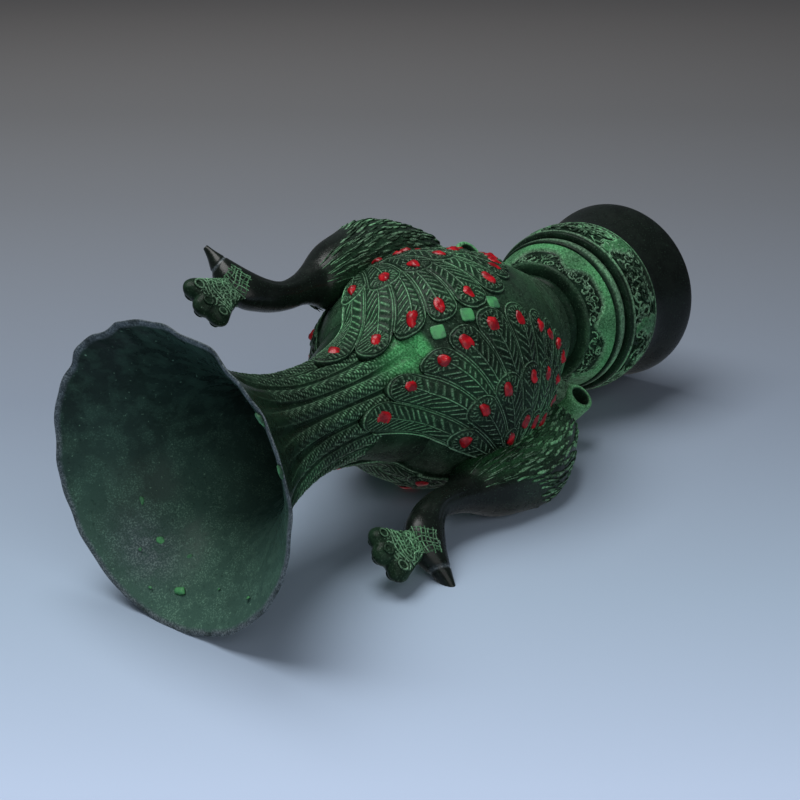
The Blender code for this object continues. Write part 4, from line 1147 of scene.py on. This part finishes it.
def make_drum():
    """The lower band: border lines, broad leaves, and scrolls on a sunken ground."""
    level = np.concatenate([[DRUM_BOTTOM], np.linspace(17.5, DRUM_TOP - 0.2, 84), [DRUM_TOP]])
    radius = drum_radius(level)
    radius[[0, -1]] -= 0.4
    profile = profile_of(radius, level, [(21.6, DRUM_TOP), (21.6, DRUM_BOTTOM)])
    outer = np.arange(len(profile))[:, None] < len(level)

    def shape(turn, radius, level):
        share = part_way(level, DRUM_BOTTOM, DRUM_TOP)
        leaf, edge = drum_leaf(turn, share)
        line = np.maximum(ridge(share - 0.09, 0.035), ridge(share - 0.91, 0.035))
        field = window(share, 0.12, 0.17, 0.83, 0.88)
        radius = radius + outer * (0.22 * line + 0.15 * edge * field - 0.6 * field * (1 - leaf))
        raised = [0.75 * line, 0.8 * edge * field, 0.28 * leaf * field, np.full(leaf.shape, 0.08)]
        fields = {"raised": outer * np.maximum.reduce(raised), "bloom": 0.32 * outer * leaf * field}
        return radius, level, fields

    turned("drum_body", "lower_drum", profile, 480, shape)
    band = (drum_radius, DRUM_BOTTOM, DRUM_TOP)
    grow("drum_curls", band_places(*band, 250, 0.20, 0.80, -0.45, 4), CURLS, (2.0, 0.9, 0.46), **SCROLL)
    grow("drum_leaves", band_places(*band, 420, 0.19, 0.81, -0.5, 3), BOSSES, (3.1, 1.2, 0.6), **LEAF)


def make_bead():
    """The round bead over the dark groove."""
    angle = np.linspace(0, np.pi, 26)
    level = (BEAD_BOTTOM + BEAD_TOP) / 2 - (BEAD_TOP - BEAD_BOTTOM) / 2 * np.cos(angle)
    radius = 22.3 + 0.95 * np.sin(angle) ** 0.7
    raised = np.concatenate([0.75 * np.sin(angle) ** 3, [0, 0]])[:, None]

    def shape(turn, radius, level):
        return radius, level, {"raised": raised}

    profile = profile_of(radius, level, [(18.5, BEAD_TOP), (18.5, BEAD_BOTTOM)])
    turned("bead_body", "bead_ring", profile, 240, shape)


def tier_radius(level):
    return 22.3 - 4.3 * part_way(level, TIER_BOTTOM, TIER_TOP)


def make_tier():
    """The sloped band: a broad scalloped rim, dark sunken panels with scrolls, and a thin upper rim."""
    slope = np.linspace(38.4, TIER_TOP - 0.3, 70)
    level = np.concatenate([[TIER_BOTTOM, 38.15], slope, [TIER_TOP - 0.05, TIER_TOP]])
    radius = tier_radius(level)
    radius[[0, -1]] -= (0.5, 0.4)
    profile = profile_of(radius, level, [(16.0, TIER_TOP), (11.0, TIER_TOP), (11.0, TIER_BOTTOM)])
    outer = np.arange(len(profile))[:, None] < len(level)

    def shape(turn, radius, level):
        share = part_way(level, TIER_BOTTOM, TIER_TOP)
        lobes = 0.5 + 0.5 * np.cos(6 * turn + 1.2)
        bound = 0.24 + 0.42 * lobes**3
        rim = 1 - smooth(share, bound - 0.05, bound + 0.05)
        top = smooth(share, 0.88, 0.93)
        edge = np.maximum(ridge(share - bound, 0.07), 0.6 * ridge(share - 0.90, 0.05))
        radius = radius + outer * (0.18 * edge - 0.8 * (1 - rim) * (1 - top))
        raised = np.maximum.reduce([0.5 * rim * (1 - 0.35 * lobes**4), 0.2 * top, 0.6 * edge])
        return radius, level, {"raised": outer * raised, "bloom": outer * 0.6 * rim * (1 - 0.6 * lobes**2)}

    turned("tier_body", "upper_tier", profile, 480, shape)
    band = (tier_radius, TIER_BOTTOM, TIER_TOP)
    grow("tier_curls", band_places(*band, 130, 0.42, 0.80, -0.7, 10), CURLS, (1.4, 0.7, 0.33), **SCROLL)
    grow("tier_leaves", band_places(*band, 230, 0.38, 0.82, -0.75, 9), BOSSES, (2.2, 0.9, 0.5), **LEAF)


def make_waist():
    """The narrow waist with its turned groove."""
    level = np.linspace(WAIST_BOTTOM, WAIST_TOP, 30)
    radius = 14.6 - np.sin(np.pi * part_way(level, WAIST_BOTTOM, WAIST_TOP)) ** 2
    profile = profile_of(radius, level, [(10.0, WAIST_TOP), (10.0, WAIST_BOTTOM)])
    turned("waist_body", "waist_collar", profile, 200)


# Stage and camera, in metres

CAMERA_PLACE = Vector((-77.8, -246.7, 412.8)) * MM
CAMERA_FORWARD = Vector((0.187, 0.631, -0.753)).normalized()
CAMERA_UP = Vector((0.789, -0.553, -0.268))
FLOOR_NORMAL = Vector((0.656, -0.754, 0.043)).normalized()
FLOOR_LEVEL = -27.8 * MM
FLOOR_HALF = 3.0
FLOOR_AHEAD = 0.5
CENTRE = Vector((0, 0, 0.1))

# Colours of the floor from far to near, by FLOOR_NEAR over the distance from the point below the camera. The
# floor darkens away from the camera: painted shade.
FLOOR_STOPS = ((0.15, (128, 126, 125)), (0.21, (115, 116, 118)), (0.27, (115, 119, 125)))
FLOOR_STOPS += ((0.42, (126, 137, 152)), (0.58, (152, 169, 188)), (0.76, (177, 193, 217)))
FLOOR_NEAR = 0.1806


def make_camera():
    """The camera fitted to the photo; gives back its right."""
    data = bpy.data.cameras.new("camera")
    data.sensor_width = 36.0
    data.lens = 67.5
    data.clip_start = 0.01
    data.clip_end = 20.0
    right = CAMERA_FORWARD.cross(CAMERA_UP).normalized()
    turn = Matrix((right, right.cross(CAMERA_FORWARD), -CAMERA_FORWARD)).transposed().to_4x4()
    camera = add_object("camera", data)
    camera.matrix_world = Matrix.Translation(CAMERA_PLACE) @ turn
    bpy.context.scene.camera = camera
    return right


def floor_material():
    """Pale floor with painted shade that darkens it with distance. It can't be seen from below, and lets the
    light through.
    """
    material, n, shader, place = new_material("pale floor")
    ahead = n.add("ShaderNodeSeparateXYZ", Vector=place).outputs["X"]
    reach = n.math("MAXIMUM", n.plus(ahead, FLOOR_AHEAD), 0.05)
    # Painted shade: the ramp darkens the floor away from the camera.
    ramp = n.add("ShaderNodeValToRGB", Fac=n.math("DIVIDE", FLOOR_NEAR, reach))
    elements = ramp.color_ramp.elements
    while len(elements) < len(FLOOR_STOPS):
        elements.new(0.5)
    for element, (spot, shade) in zip(elements, FLOOR_STOPS):
        element.position = spot
        element.color = colour(*shade)
    n.fill(shader, Base_Color=ramp.outputs["Color"], Roughness=0.9, Specular_IOR_Level=0.1)
    path = n.add("ShaderNodeLightPath").outputs
    seen = n.times(path["Is Camera Ray"], n.add("ShaderNodeNewGeometry").outputs["Backfacing"])
    mixed = n.add("ShaderNodeMixShader", Fac=n.math("MAXIMUM", seen, path["Is Shadow Ray"]))
    n.put(mixed.inputs[1], shader.outputs[0])
    n.put(mixed.inputs[2], n.add("ShaderNodeBsdfTransparent").outputs[0])
    output = next(node for node in n.tree.nodes if node.type == "OUTPUT_MATERIAL")
    n.put(output.inputs[0], mixed.outputs[0])
    return material


def lamp(name, place, size, watts):
    """A square lamp that looks at the middle of the vase."""
    data = bpy.data.lights.new(name, "AREA")
    data.shape = "SQUARE"
    data.size = size
    data.energy = watts
    light = add_object(name, data)
    toward = (CENTRE - place).normalized()
    light.matrix_world = Matrix.Translation(place) @ toward.to_track_quat("-Z", "Y").to_matrix().to_4x4()
    light.visible_camera = False


def make_stage(right):
    """The sloped floor that the vase rests on, the lamps, and a dim world."""
    ahead = FLOOR_NORMAL.cross(right)
    if ahead.dot(CAMERA_FORWARD) < 0:
        ahead = -ahead
    below = CAMERA_PLACE - FLOOR_NORMAL * (CAMERA_PLACE.dot(FLOOR_NORMAL) - FLOOR_LEVEL)
    mesh = bpy.data.meshes.new("floor")
    corners = [(x * FLOOR_HALF, y * FLOOR_HALF, 0) for x, y in ((-1, -1), (1, -1), (1, 1), (-1, 1))]
    mesh.from_pydata(corners, [], [(0, 1, 2, 3)])
    mesh.materials.append(floor_material())
    floor = add_object("floor", mesh)
    floor.matrix_world = Matrix.Translation(below + ahead * FLOOR_AHEAD) @ axes(FLOOR_NORMAL, ahead).to_4x4()
    lamp("softbox above", CENTRE + FLOOR_NORMAL * 0.8 + ahead * 0.05 - right * 0.26, 0.6, 8.3)
    lamp("fill from the camera", CENTRE + FLOOR_NORMAL * 0.4 - ahead * 0.75 + right * 0.3, 0.8, 3.2)
    lamp("fill from behind", CENTRE - FLOOR_NORMAL * 0.8 + ahead * 0.3, 0.9, 6.0)
    world = bpy.data.worlds.new("studio")
    world.use_nodes = True
    back = next(node for node in world.node_tree.nodes if node.type == "BACKGROUND")
    back.inputs["Color"].default_value = colour(176, 182, 194)
    back.inputs["Strength"].default_value = 0.18
    bpy.context.scene.world = world


make_belly()
make_neck()
for SIDE_NAME in SIDES:
    for FACE_NAME in FACES:
        tail_fan(SIDE_NAME, FACE_NAME)
make_spots()
make_inlays()
for SIDE_NAME, SIDE in SIDES.items():
    make_bird(SIDE_NAME, SIDE)
    make_crest(SIDE_NAME, SIDE)
    make_lug(SIDE_NAME, SIDE)
make_foot()
make_drum()
make_bead()
make_tier()
make_waist()

# The solids that still show are the base plate and the pins
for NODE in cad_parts.values():
    if not NODE.hide_render:
        NODE.data.materials.clear()
        NODE.data.materials.append(FINISHES["dark_bronze"])

bpy.context.scene.view_settings.view_transform = "Standard"
make_stage(make_camera())
